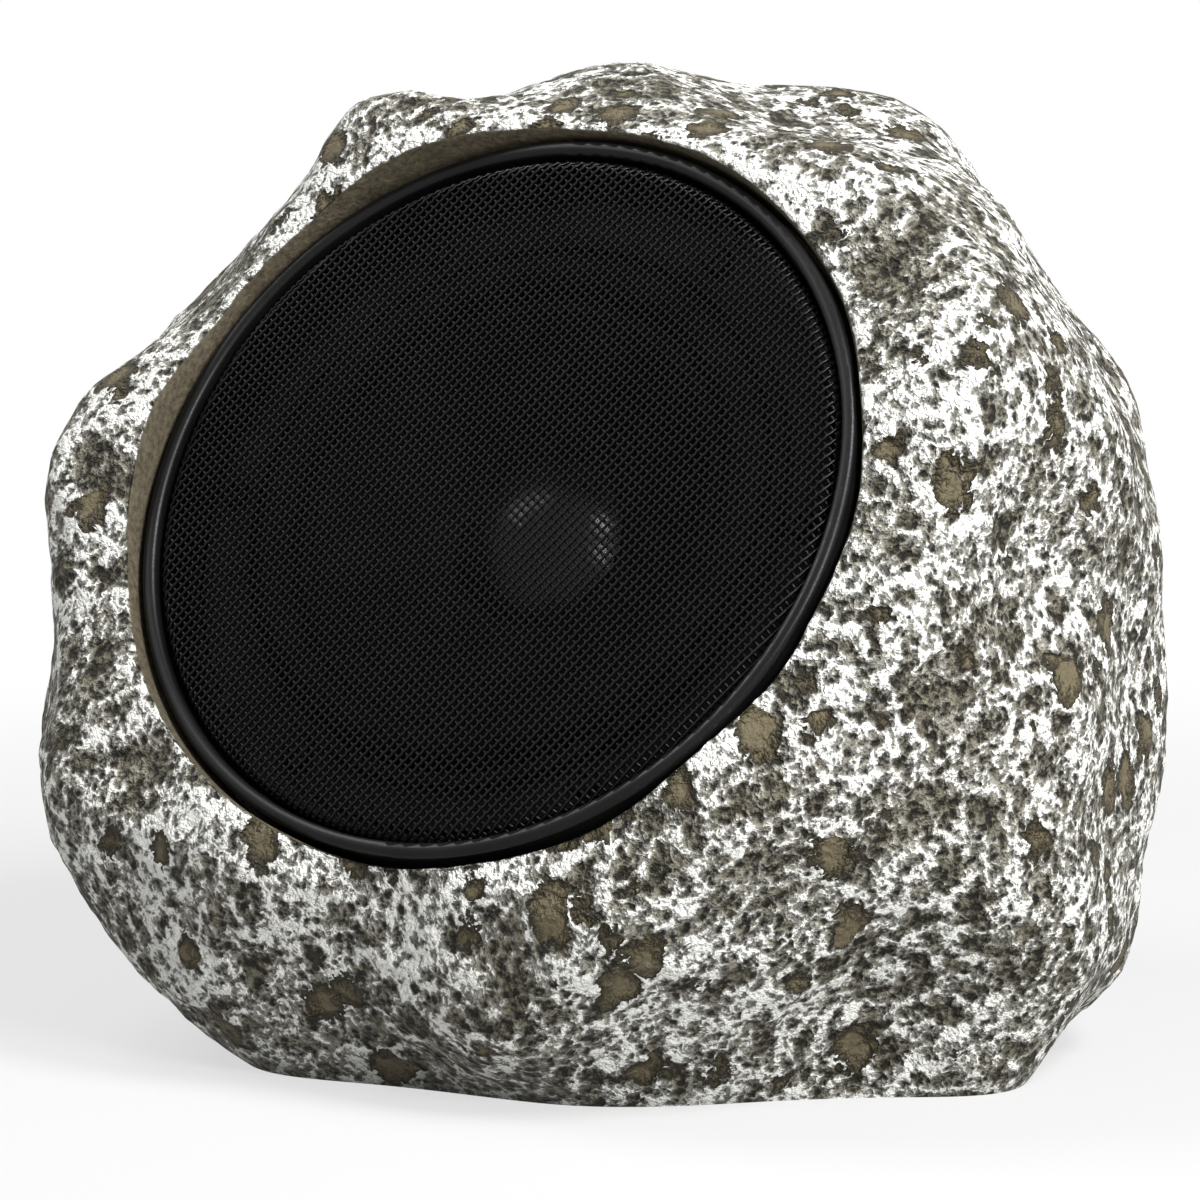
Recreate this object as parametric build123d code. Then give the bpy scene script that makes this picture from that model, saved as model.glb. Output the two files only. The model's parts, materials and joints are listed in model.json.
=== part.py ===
from build123d import *
import math
import os

# Rock shaped garden speaker: a hollow cast rock with one full range driver behind a
# round grille that leans back. Millimetres, +Z up, front towards -Y, and the origin
# in the underside of the base plate.

# Rock: a centre, and facets as heading round Z from +X, elevation, distance from it
ROCK_CENTRE_Y = -5.0
ROCK_CENTRE_Z = 102.0
FACET_SHARPNESS = 22.0
FACETS = {
    "front": (-88, 28.5, 85.5),
    "front_low": (-92, -14, 131),
    "front_under": (-100, -48, 138.5),
    "left_front": (-148, 2, 149.5),
    "left_front_low": (-150, -40, 147),
    "left_front_top": (-148, 42, 138),
    "left": (180, 4, 130),
    "left_low": (180, -40, 138),
    "left_back_top": (150, 42, 135),
    "flank": (-24, 6, 133),
    "flank_low": (-45, -32, 133),
    "right": (8, 0, 136),
    "right_edge": (36, 2, 131),
    "right_low": (25, -29, 143),
    "right_top": (25, 36, 138),
    "back": (90, 4, 124),
    "back_low": (95, -40, 130),
    "back_top": (95, 45, 138),
    "back_left": (140, 0, 124),
    "top": (-60, 80, 132),
    "top_right": (-10, 60, 144),
}
# Knobs and hollows of the rock: heading, elevation, height, and spread in degrees
LUMPS = {
    "crown_left": (-158, 63, 9, 6),
    "crown_gap": (175, 68, -8, 6),
    "crown_back_dip": (140, 76, 0.5, 7),
    "crown_middle": (116, 81, 6, 7),
    "crown_dip": (80, 72, -4, 6),
    "crown_right": (37, 55, 3, 6),
    "step_right": (45, 47, -4.5, 5),
    "ledge_right": (5, 58, 0.5, 6),
    "hollow_under_ledge": (-24, 44, -7, 7),
    "ridge_right": (-18, 27, 4, 8),
    "right_knob": (17, -2, 2.5, 5),
    "right_low_knob": (13, -29, 6.5, 7),
    "hollow_upper_left": (-157, 44, -3, 9),
    "shoulder_left": (-147, 18, 7, 7),
    "hollow_left": (-140, 6, -1, 8),
    "belly_left": (-134, -15, -2, 9),
    "dent_front": (-76, -22, -3, 8),
    "dent_right": (-38, -10, -4, 8),
    "base_left": (-121, -43, 3.5, 7),
    "base_front": (-75, -46, -5, 7),
    "base_corner": (-71, -36, 2.5, 7),
    "base_right": (-15, -39, 10, 6),
    "base_step": (3, -41, -7, 5),
    "back_knob": (70, 25, 6, 12),
    "back_hollow": (112, -2, -7, 13),
    "back_low_knob": (60, -22, 5, 10),
    "left_ridge": (160, 15, 5, 11),
    "left_hollow": (180, -16, -6, 10),
}
# Broad undulation of the carving: each wave's heading, elevation, count to a radius and phase
SWELL_HEIGHT = 0.9
SWELLS = {
    "right": (20, 10, 14, 4.8),
    "back": (75, -15, 18, 6.1),
    "left_back": (135, 20, 16, 3.3),
    "front_up": (-35, 45, 18, 2.5),
    "down": (10, -60, 14, 5.9),
    "up": (60, 65, 18, 0.3),
}
LOWEST_ELEVATION = -75.0
HALVINGS = 40
POINTS_ROUND = 64
ROCK_SECTIONS = 30
CROWN_CROWDING = 1.3
ROCK_WALL = 6.0

# Base: plate in a rebate of the rock's foot, on a flange with a foam seal
BASE_RIM = 8.0
BASE_LEDGE = 14.0
BASE_THICKNESS = 5.0
BASE_GASKET_THICKNESS = 1.5
BASE_GASKET_MARGIN = 1.0
BASE_FLANGE_THICKNESS = 9.0
BASE_SCREW_COUNT = 8
BASE_SCREW_LENGTH = 9.5
BASE_RIB_THICKNESS = 2.5
BASE_RIB_HEIGHT = 6.0
BASE_RIB_SPACING = 20.0
BASE_RIB_PAIRS = 3
BASE_RIB_ROOM = 6.0

# Screws and threaded inserts
SCREW_RADIUS = 1.9
SCREW_HEAD_OVERHANG = 1.7
SCREW_HEAD_HEIGHT = 2.2
SCREW_SLOT_WIDTH = 1.0
SCREW_SLOT_DEPTH = 1.1
SCREW_HEAD_SINK = 0.4
SCREW_TIP_ROOM = 1.0
INSERT_WALL = 1.0
INSERT_LENGTH = 6.5

# Clearances
SLIDE_CLEARANCE = 0.3
FIT_CLEARANCE = 0.1
GLUE_GAP = 0.05

# Speaker axis: leans back from the horizontal and passes through the rock's centre
AXIS_TILT = 30.0
SEAT_OFFSET = 67.0
BAFFLE_THICKNESS = 9.0
BAFFLE_RIM = 8.0

# Grille: ring and dished mesh, heights above the recess floor
MESH_HEIGHT = 15.3
MESH_THICKNESS = 1.0
MESH_EDGE_RADIUS = 4.0
MESH_GAP_PITCH = 14.5
MESH_GAP_SIZE = 8.0
MESH_RIDGE_WIDTH = 2.0
MESH_RIDGE_HEIGHT = 0.4
MESH_TURN = 55.0
RING_WALL = 3.7
RING_GAP = 1.5
RING_FOOT_CLEARANCE = 2.0
RING_FOOT_LEDGE = 5.0
RING_FOOT_THICKNESS = 2.5
RING_BEAD_RISE = 0.4
RING_BEAD_ROUNDING = 0.45
PEG_COUNT = 6
PEG_RADIUS = 2.4
PEG_LENGTH = 6.0

# Driver chassis, heights along the axis from the recess floor
DRIVER_HOLE_CLEARANCE = 2.0
DRIVER_GASKET_THICKNESS = 1.5
FLANGE_INNER_RADIUS = 68.0
FLANGE_WIDTH = 15.0
SHEET_THICKNESS = 1.5
DRIVER_SCREW_COUNT = 6
DRIVER_SCREW_MARGIN = 5.0
DRIVER_SCREW_LENGTH = 8.0
BASKET_NECK_DEPTH = 6.0
BASKET_NECK_INSET = 2.0
SPIDER_SEAT_DEPTH = 26.0
SPIDER_SEAT_RADIUS = 46.0
SPIDER_LEDGE = 9.0
CUP_DEPTH = 11.5
WINDOW_COUNT = 6
WINDOW_ANGLE = 38.0
WINDOW_MARGIN = 3.0

# Moving parts
COIL_CLEARANCE = 0.3
ROLL_WIDTH = 11.0
CONE_RIM_WIDTH = 4.0
CONE_THICKNESS = 0.8
CONE_COLLAR = 3.0
CONE_SPIDER_GAP = 0.9
DUST_CAP_RADIUS = 22.0
DUST_CAP_HEIGHT = 10.0
DUST_CAP_THICKNESS = 0.6
SURROUND_THICKNESS = 0.7
SURROUND_LIP = 4.5
TRIM_GASKET_THICKNESS = 2.0
SPIDER_THICKNESS = 0.6
SPIDER_WAVE = 1.4
SPIDER_WAVES = 4
SPIDER_WAVE_POINTS = 8
SPIDER_COLLAR = 3.0
FORMER_INNER_RADIUS = 12.5
FORMER_THICKNESS = 0.3
WINDING_THICKNESS = 0.3
WINDING_LENGTH = 12.0
FORMER_TAIL = 1.0

# Motor
TOP_PLATE_RADIUS = 40.0
TOP_PLATE_THICKNESS = 6.0
MAGNET_RADIUS = 43.0
MAGNET_BORE_ROOM = 5.5
MAGNET_THICKNESS = 16.0
YOKE_THICKNESS = 6.0
POLE_VENT_RADIUS = 4.0

# Terminals on the chassis, and the flexible leads
BOARD_LENGTH = 20.0
BOARD_WIDTH = 24.0
BOARD_THICKNESS = 2.0
TAB_SPACING = 12.0
TAB_WIDTH = 5.0
TAB_THICKNESS = 0.8
TAB_LENGTH = 18.0
TAB_REACH = 8.0
TINSEL_RADIUS = 0.6
TINSEL_BOARD_MARGIN = 4.0
TINSEL_CONE_RADIUS = 40.0
TINSEL_BOW = 3.0
LEAD_RADIUS = 1.2
LEAD_GRIP = 6.0
LEAD_STUB = 14.0
LEAD_ARC_SHARE = 0.45

# Terminal block on the base plate
BLOCK_Y = 36.0
BLOCK_SIZE = (26.0, 18.0, 15.0)
BLOCK_PAD_HEIGHT = 4.0
BLOCK_PAD_MARGIN = 4.0
BLOCK_SCREW_BITE = 5.6
BLOCK_POLE_SPACING = 14.0
CLAMP_WALL = 1.4
CLAMP_BORE_ROOM = 0.6
CLAMP_SCREW_RADIUS = 1.5
CLAMP_SCREW_OFFSET = 4.5
CLAMP_SCREW_SINK = 1.0

# Cable gland, level, low at the back
GLAND_HEIGHT = 36.0
GLAND_SINK = 10.0
GLAND_WALL = 8.0
GLAND_SPOT_ROOM = 2.3
GLAND_BOSS_WALL = 3.0
GLAND_BORE_RADIUS = 3.5
GLAND_PASSAGE_ROOM = 0.8
GLAND_SEAL_WALL = 2.1
GLAND_SEAL_LENGTH = 10.0
GLAND_NECK_WALL = 1.7
GLAND_NECK_LENGTH = 11.0
GLAND_THREAD_STEP = 0.6
GLAND_WASHER_THICKNESS = 1.5
GLAND_HEX_OVERHANG = 3.0
GLAND_HEX_HEIGHT = 5.0
GLAND_NUT_HEIGHT = 5.0
GLAND_NUT_REACH = 3.0
GLAND_CAP_WALL = 2.5
GLAND_CAP_FRONT = 4.0
GLAND_CAP_CORNER = 1.0
GLAND_CAP_ROUND = 3.0

ROCK_CENTRE = Vector(0, ROCK_CENTRE_Y, ROCK_CENTRE_Z)
TILT = math.radians(AXIS_TILT)
AXIS = Vector(0, -math.cos(TILT), math.sin(TILT))
SEAT = Plane(origin=ROCK_CENTRE + AXIS * SEAT_OFFSET, x_dir=(1, 0, 0), z_dir=AXIS)
BASE_FLANGE_BOTTOM = BASE_THICKNESS + BASE_GASKET_THICKNESS
BASE_FLANGE_TOP = BASE_FLANGE_BOTTOM + BASE_FLANGE_THICKNESS
SPIN = Axis.Z
STANDING = (Align.CENTER, Align.CENTER, Align.MIN)
SCREW_HEAD_RADIUS = SCREW_RADIUS + SCREW_HEAD_OVERHANG
SCREW_SINK = SCREW_HEAD_HEIGHT + SCREW_HEAD_SINK
INSERT_RADIUS = SCREW_RADIUS + FIT_CLEARANCE + INSERT_WALL
FLANGE_RADIUS = FLANGE_INNER_RADIUS + FLANGE_WIDTH
FLANGE_TOP = DRIVER_GASKET_THICKNESS + SHEET_THICKNESS
DRIVER_HOLE_RADIUS = FLANGE_INNER_RADIUS + SHEET_THICKNESS + DRIVER_HOLE_CLEARANCE
RING_FOOT_RADIUS = FLANGE_RADIUS + RING_FOOT_CLEARANCE
MESH_RADIUS = RING_FOOT_RADIUS + RING_FOOT_LEDGE
RING_INNER_RADIUS = MESH_RADIUS + SLIDE_CLEARANCE
RING_OUTER_RADIUS = RING_INNER_RADIUS + RING_WALL
RECESS_RADIUS = RING_OUTER_RADIUS + RING_GAP
BASKET_NECK_RADIUS = FLANGE_INNER_RADIUS - BASKET_NECK_INSET
BASKET_CUP_RADIUS = SPIDER_SEAT_RADIUS - SPIDER_LEDGE
BASKET_DEPTH = SPIDER_SEAT_DEPTH + CUP_DEPTH
SPIDER_SEAT = SHEET_THICKNESS - SPIDER_SEAT_DEPTH
CONE_RIM_RADIUS = FLANGE_INNER_RADIUS - ROLL_WIDTH
CONE_NECK_DEPTH = -(SPIDER_SEAT + SPIDER_THICKNESS + CONE_SPIDER_GAP + CONE_COLLAR)
FORMER_OUTER_RADIUS = FORMER_INNER_RADIUS + FORMER_THICKNESS
WINDING_OUTER_RADIUS = FORMER_OUTER_RADIUS + GLUE_GAP + WINDING_THICKNESS
GAP_OUTER_RADIUS = WINDING_OUTER_RADIUS + COIL_CLEARANCE
POLE_RADIUS = FORMER_INNER_RADIUS - COIL_CLEARANCE
PLATE_BOTTOM = -BASKET_DEPTH - TOP_PLATE_THICKNESS
MAGNET_INNER_RADIUS = GAP_OUTER_RADIUS + MAGNET_BORE_ROOM
MAGNET_BOTTOM = PLATE_BOTTOM - MAGNET_THICKNESS
CLAMP_BORE_RADIUS = LEAD_RADIUS + CLAMP_BORE_ROOM
CLAMP_TUBE_RADIUS = CLAMP_BORE_RADIUS + CLAMP_WALL
GLAND_PASSAGE_RADIUS = GLAND_BORE_RADIUS + GLAND_PASSAGE_ROOM
GLAND_SEAL_RADIUS = GLAND_BORE_RADIUS + GLAND_SEAL_WALL
GLAND_NECK_RADIUS = GLAND_SEAL_RADIUS + FIT_CLEARANCE + GLAND_NECK_WALL
GLAND_THREAD_RADIUS = GLAND_NECK_RADIUS + GLAND_THREAD_STEP
GLAND_HEX_ACROSS = 2 * (GLAND_THREAD_RADIUS + GLAND_HEX_OVERHANG)
GLAND_CAP_ACROSS = 2 * (GLAND_NECK_RADIUS + FIT_CLEARANCE + GLAND_CAP_WALL)
GLAND_SPOT_RADIUS = GLAND_HEX_ACROSS / math.sqrt(3) + GLAND_SPOT_ROOM


def direction(heading, elevation):
    """Unit vector at a heading round Z from +X and an elevation, in degrees."""
    turn = math.radians(heading)
    rise = math.radians(elevation)
    return Vector(math.cos(rise) * math.cos(turn), math.cos(rise) * math.sin(turn), math.sin(rise))


FACET_PLANES = [(direction(turn, rise), distance) for turn, rise, distance in FACETS.values()]
LUMP_PEAKS = [
    (direction(turn, rise), height, math.radians(spread)) for turn, rise, height, spread in LUMPS.values()
]
SWELL_WAVES = [(direction(turn, rise), count, phase) for turn, rise, count, phase in SWELLS.values()]


def rock_radius(way):
    """Distance from the rock's centre to its surface: rounded facets plus lumps and swells."""
    gauge = sum((max(way.dot(normal), 0) / distance) ** FACET_SHARPNESS for normal, distance in FACET_PLANES)
    lumps = sum(height * math.exp((way.dot(peak) - 1) / spread**2) for peak, height, spread in LUMP_PEAKS)
    swells = sum(math.sin(count * way.dot(crest) + phase) for crest, count, phase in SWELL_WAVES)
    return gauge ** (-1 / FACET_SHARPNESS) + lumps + SWELL_HEIGHT * swells


def rock_point(heading, elevation, inset):
    """Point of the rock's surface, moved in by an inset."""
    way = direction(heading, elevation)
    return ROCK_CENTRE + way * (rock_radius(way) - inset)


def floor_elevation(heading, inset, floor):
    """Elevation at which the surface meets a level floor, found by halving."""
    low, high = LOWEST_ELEVATION, 0.0
    for _ in range(HALVINGS):
        middle = (low + high) / 2
        if rock_point(heading, middle, inset).Z < floor:
            low = middle
        else:
            high = middle
    return (low + high) / 2


HEADINGS = [360 * step / POINTS_ROUND for step in range(POINTS_ROUND)]
ROUND_PARAMETERS = [step / POINTS_ROUND for step in range(POINTS_ROUND + 1)]


def closed_curve(points):
    """Smooth closed wire through points taken at even headings."""
    return Wire([Edge.make_spline(points, periodic=True, parameters=ROUND_PARAMETERS)])


def rock_solid(inset, floor):
    """The rock's form, moved in by an inset and cut flat at a floor."""
    feet = [floor_elevation(heading, inset, floor) for heading in HEADINGS]
    sections = []
    for step in range(ROCK_SECTIONS):
        share = 1 - (1 - step / ROCK_SECTIONS) ** CROWN_CROWDING
        points = [
            rock_point(heading, foot + (90 - foot) * share, inset) for heading, foot in zip(HEADINGS, feet)
        ]
        sections.append(closed_curve(points))
    return Solid.make_loft([*sections, Vertex(*rock_point(0, 90, inset))])


def level_radius(heading, height):
    """Level distance from the rock's middle to its surface, at a heading and a height below the centre."""
    edge = rock_point(heading, floor_elevation(heading, 0, height), 0) - ROCK_CENTRE
    return math.hypot(edge.X, edge.Y)


FOOT_RADII = [level_radius(heading, 0) for heading in HEADINGS]


def foot_point(heading, radius, height):
    """Point at a heading and a level distance from the rock's middle, at a height."""
    way = direction(heading, 0) * radius
    return Vector(way.X, ROCK_CENTRE_Y + way.Y, height)


def foot_slab(inset, low, high):
    """Slab with the outline of the rock's foot, moved in by an inset."""
    points = [foot_point(heading, radius - inset, low) for heading, radius in zip(HEADINGS, FOOT_RADII)]
    return extrude(Face(closed_curve(points)), amount=high - low, dir=(0, 0, 1))


def rod(radius, low, high):
    """Round bar along local Z."""
    return Pos(0, 0, low) * Cylinder(radius, high - low, align=STANDING)


def tube(inner, outer, low, high):
    """Round tube along local Z."""
    return rod(outer, low, high) - rod(inner, low, high)


def turned(*corners):
    """Solid turned round local Z from corners given as radius and height."""
    outline = Polyline(*[(radius, 0, height) for radius, height in corners], close=True)
    return revolve(make_face(outline), SPIN)


def screw(length):
    """Pan head screw, head up from local Z 0, with a cross slot."""
    slot = Box(2 * SCREW_HEAD_RADIUS, SCREW_SLOT_WIDTH, 2 * SCREW_SLOT_DEPTH)
    slot += Rot(0, 0, 90) * slot
    head = rod(SCREW_HEAD_RADIUS, 0, SCREW_HEAD_HEIGHT)
    head = fillet(head.edges().group_by(Axis.Z)[-1], SCREW_HEAD_HEIGHT / 2)
    slot &= rod(SCREW_HEAD_RADIUS - SCREW_SLOT_DEPTH, -SCREW_HEAD_HEIGHT, 2 * SCREW_HEAD_HEIGHT)
    return head + rod(SCREW_RADIUS, -length, 0) - Pos(0, 0, SCREW_HEAD_HEIGHT) * slot


def insert():
    """Threaded brass insert, its mouth at local Z 0."""
    return tube(SCREW_RADIUS + FIT_CLEARANCE, INSERT_RADIUS, -INSERT_LENGTH, 0)


def circle_of(count, radius, first=0.0):
    """Places round a circle about local Z, each with its X axis outwards."""
    return [Rot(0, 0, first + 360 * step / count) * Pos(radius, 0, 0) for step in range(count)]


# Places of the base screws, on the middle of the flange's ledge
BASE_SCREW_HEADINGS = [360 * (step + 0.5) / BASE_SCREW_COUNT for step in range(BASE_SCREW_COUNT)]
BASE_SCREW_PLACES = []
for heading in BASE_SCREW_HEADINGS:
    spot = foot_point(heading, level_radius(heading, 0) - BASE_RIM - BASE_LEDGE / 2, 0)
    BASE_SCREW_PLACES.append(Pos(spot.X, spot.Y, 0))
DRIVER_SCREW_PLACES = circle_of(DRIVER_SCREW_COUNT, FLANGE_RADIUS - DRIVER_SCREW_MARGIN)
PEG_PLACES = circle_of(PEG_COUNT, (RING_FOOT_RADIUS + RING_OUTER_RADIUS) / 2, 180 / PEG_COUNT)
GLAND_SEAT_Y = ROCK_CENTRE_Y + level_radius(90, GLAND_HEIGHT) - GLAND_SINK
GLAND = Plane(origin=(0, GLAND_SEAT_Y, GLAND_HEIGHT), x_dir=(-1, 0, 0), z_dir=(0, 1, 0))

# Rock shell with baffle, recess, base flange and gland seat
outer_form = rock_solid(0, 0)
far_out = 2 * max(distance for normal, distance in FACET_PLANES)
baffle = SEAT.location * rod(RECESS_RADIUS + BAFFLE_RIM, -BAFFLE_THICKNESS, far_out)
gland_boss = GLAND.location * rod(GLAND_SPOT_RADIUS + GLAND_BOSS_WALL, -GLAND_WALL, far_out)
rock_shell = outer_form - rock_solid(ROCK_WALL, BASE_FLANGE_TOP)
rock_shell += (baffle + gland_boss) & outer_form
rock_shell -= SEAT.location * rod(RECESS_RADIUS, 0, far_out)
rock_shell -= SEAT.location * rod(DRIVER_HOLE_RADIUS, -2 * BAFFLE_THICKNESS, far_out)
rock_shell -= foot_slab(BASE_RIM - SLIDE_CLEARANCE, 0, BASE_FLANGE_BOTTOM)
rock_shell -= foot_slab(BASE_RIM + BASE_LEDGE, 0, BASE_FLANGE_TOP)
rock_shell -= GLAND.location * rod(GLAND_SPOT_RADIUS, 0, far_out)
rock_shell -= GLAND.location * rod(GLAND_THREAD_RADIUS + SLIDE_CLEARANCE, -2 * GLAND_WALL, far_out)
driver_tip = DRIVER_SCREW_LENGTH - FLANGE_TOP + SCREW_TIP_ROOM
for place in DRIVER_SCREW_PLACES:
    rock_shell -= SEAT.location * place * rod(INSERT_RADIUS + GLUE_GAP, -INSERT_LENGTH, 0)
    rock_shell -= SEAT.location * place * rod(SCREW_RADIUS + FIT_CLEARANCE, -driver_tip, 0)
for place in PEG_PLACES:
    rock_shell -= SEAT.location * place * rod(PEG_RADIUS + FIT_CLEARANCE, -PEG_LENGTH - SCREW_TIP_ROOM, 0)
base_tip = SCREW_SINK + BASE_SCREW_LENGTH + SCREW_TIP_ROOM
insert_top = BASE_FLANGE_BOTTOM + INSERT_LENGTH
for place in BASE_SCREW_PLACES:
    rock_shell -= place * rod(INSERT_RADIUS + GLUE_GAP, BASE_FLANGE_BOTTOM, insert_top)
    rock_shell -= place * rod(SCREW_RADIUS + FIT_CLEARANCE, BASE_FLANGE_BOTTOM, base_tip)

# Base plate with ribs, a pad for the terminal block and sunk screw holes
block_size_x, block_size_y, block_size_z = BLOCK_SIZE
pad_top = BASE_THICKNESS + BLOCK_PAD_HEIGHT
rib_top = BASE_THICKNESS + BASE_RIB_HEIGHT
rib_slab = foot_slab(BASE_RIM + BASE_LEDGE + SLIDE_CLEARANCE, BASE_THICKNESS, rib_top)
base_plate = foot_slab(BASE_RIM, 0, BASE_THICKNESS)
for step in range(BASE_RIB_PAIRS):
    rib_x = block_size_x / 2 + BASE_RIB_ROOM + step * BASE_RIB_SPACING
    for side in (-1, 1):
        rib = Box(BASE_RIB_THICKNESS, 2 * far_out, 2 * rib_top)
        base_plate += (Pos(side * rib_x, 0, 0) * rib) & rib_slab
pad = Box(block_size_x - BLOCK_PAD_MARGIN, block_size_y - BLOCK_PAD_MARGIN, pad_top, align=STANDING)
base_plate += Pos(0, BLOCK_Y, 0) * pad
for place in BASE_SCREW_PLACES:
    base_plate -= place * rod(SCREW_HEAD_RADIUS + SLIDE_CLEARANCE, 0, SCREW_SINK)
    base_plate -= place * rod(SCREW_RADIUS + SLIDE_CLEARANCE, 0, BASE_THICKNESS)
pilot_depth = BLOCK_SCREW_BITE + SCREW_TIP_ROOM
base_plate -= Pos(0, BLOCK_Y, pad_top) * rod(SCREW_RADIUS + GLUE_GAP, -pilot_depth, 0)
gasket_inner = BASE_RIM + BASE_LEDGE - BASE_GASKET_MARGIN
base_gasket = foot_slab(BASE_RIM + SLIDE_CLEARANCE, BASE_THICKNESS, BASE_FLANGE_BOTTOM)
base_gasket -= foot_slab(gasket_inner, BASE_THICKNESS, BASE_FLANGE_BOTTOM)
for place in BASE_SCREW_PLACES:
    base_gasket -= place * rod(INSERT_RADIUS, BASE_THICKNESS, BASE_FLANGE_BOTTOM)
insert_seat = Pos(0, 0, BASE_FLANGE_BOTTOM) * Rot(180, 0, 0)
screw_seat = Pos(0, 0, SCREW_SINK) * Rot(180, 0, 0)
base_inserts = [place * insert_seat * insert() for place in BASE_SCREW_PLACES]
base_screws = [place * screw_seat * screw(BASE_SCREW_LENGTH) for place in BASE_SCREW_PLACES]

# Terminal block with brass clamps
block_bottom = pad_top
pole_height = block_bottom + block_size_z / 2
terminal_block = Pos(0, BLOCK_Y, block_bottom) * Box(*BLOCK_SIZE, align=STANDING)
terminal_block -= Pos(0, BLOCK_Y, block_bottom) * rod(SCREW_RADIUS + SLIDE_CLEARANCE, 0, block_size_z)
head_seat = Pos(0, BLOCK_Y, block_bottom + block_size_z - SCREW_SINK)
terminal_block -= head_seat * rod(SCREW_HEAD_RADIUS + SLIDE_CLEARANCE, 0, 2 * SCREW_SINK)
block_screw = head_seat * screw(block_size_z - SCREW_SINK + BLOCK_SCREW_BITE)
clamp_tubes = []
clamp_screws = []
clamp_length = block_size_y - BLOCK_PAD_MARGIN
clamp_screw_top = block_size_z / 2 - CLAMP_SCREW_SINK
for side in (-1, 1):
    pole = Pos(side * BLOCK_POLE_SPACING / 2, BLOCK_Y, pole_height)
    along = pole * Rot(90, 0, 0)
    terminal_block -= along * rod(CLAMP_TUBE_RADIUS + GLUE_GAP, -clamp_length / 2, clamp_length / 2)
    terminal_block -= along * rod(CLAMP_BORE_RADIUS, -block_size_y, block_size_y)
    clamp = along * tube(CLAMP_BORE_RADIUS, CLAMP_TUBE_RADIUS, -clamp_length / 2, clamp_length / 2)
    for end in (-1, 1):
        spot = pole * Pos(0, end * CLAMP_SCREW_OFFSET, 0)
        terminal_block -= spot * rod(CLAMP_SCREW_RADIUS + SLIDE_CLEARANCE, 0, block_size_z)
        clamp -= spot * rod(CLAMP_SCREW_RADIUS + GLUE_GAP, 0, block_size_z)
        clamp_screw = spot * rod(CLAMP_SCREW_RADIUS, LEAD_RADIUS + FIT_CLEARANCE, clamp_screw_top)
        slot = Box(3 * CLAMP_SCREW_RADIUS, SCREW_SLOT_WIDTH / 2, SCREW_SLOT_DEPTH)
        clamp_screws.append(clamp_screw - spot * Pos(0, 0, clamp_screw_top) * slot)
    clamp_tubes.append(clamp)

# Grille ring with bead and pegs, and the dished mesh with its ridges and gaps
bead_top = MESH_HEIGHT + RING_BEAD_RISE
bead = tube(RING_INNER_RADIUS, RING_OUTER_RADIUS, 0, bead_top)
bead = fillet(bead.edges().group_by(SPIN)[-1], RING_BEAD_ROUNDING * RING_WALL)
grille_ring = bead + tube(RING_FOOT_RADIUS, RING_OUTER_RADIUS, 0, RING_FOOT_THICKNESS)
for place in PEG_PLACES:
    grille_ring += place * rod(PEG_RADIUS, -PEG_LENGTH, RING_FOOT_THICKNESS)
sheet_top = MESH_HEIGHT - MESH_RIDGE_HEIGHT
dish = rod(MESH_RADIUS, RING_FOOT_THICKNESS, sheet_top)
dish = fillet(dish.edges().group_by(SPIN)[-1], MESH_EDGE_RADIUS)
hollow = rod(MESH_RADIUS - MESH_THICKNESS, RING_FOOT_THICKNESS, sheet_top - MESH_THICKNESS)
hollow = fillet(hollow.edges().group_by(SPIN)[-1], MESH_EDGE_RADIUS - MESH_THICKNESS)
flat_radius = MESH_RADIUS - MESH_EDGE_RADIUS
lines = int(flat_radius // MESH_GAP_PITCH) + 1
gap_reach = flat_radius - MESH_GAP_SIZE * math.sqrt(0.5)
gaps = []
for column in range(-lines, lines + 1):
    for row in range(-lines, lines + 1):
        if MESH_GAP_PITCH * math.hypot(column, row) < gap_reach:
            gap = Box(MESH_GAP_SIZE, MESH_GAP_SIZE, 2 * MESH_HEIGHT)
            gaps.append(Pos(column * MESH_GAP_PITCH, row * MESH_GAP_PITCH, MESH_HEIGHT) * gap)
ridges = []
for line in range(-lines - 1, lines + 1):
    offset = (line + 0.5) * MESH_GAP_PITCH
    if abs(offset) + MESH_RIDGE_WIDTH < flat_radius:
        reach = math.sqrt(flat_radius**2 - (abs(offset) + MESH_RIDGE_WIDTH / 2) ** 2)
        bar = Box(MESH_RIDGE_WIDTH, 2 * reach, MESH_RIDGE_HEIGHT, align=STANDING)
        ridges.append(Pos(offset, 0, sheet_top) * bar)
        ridges.append(Rot(0, 0, 90) * Pos(offset, 0, sheet_top) * bar)
grille_mesh = Rot(0, 0, MESH_TURN) * (dish - hollow + ridges - gaps)

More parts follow.
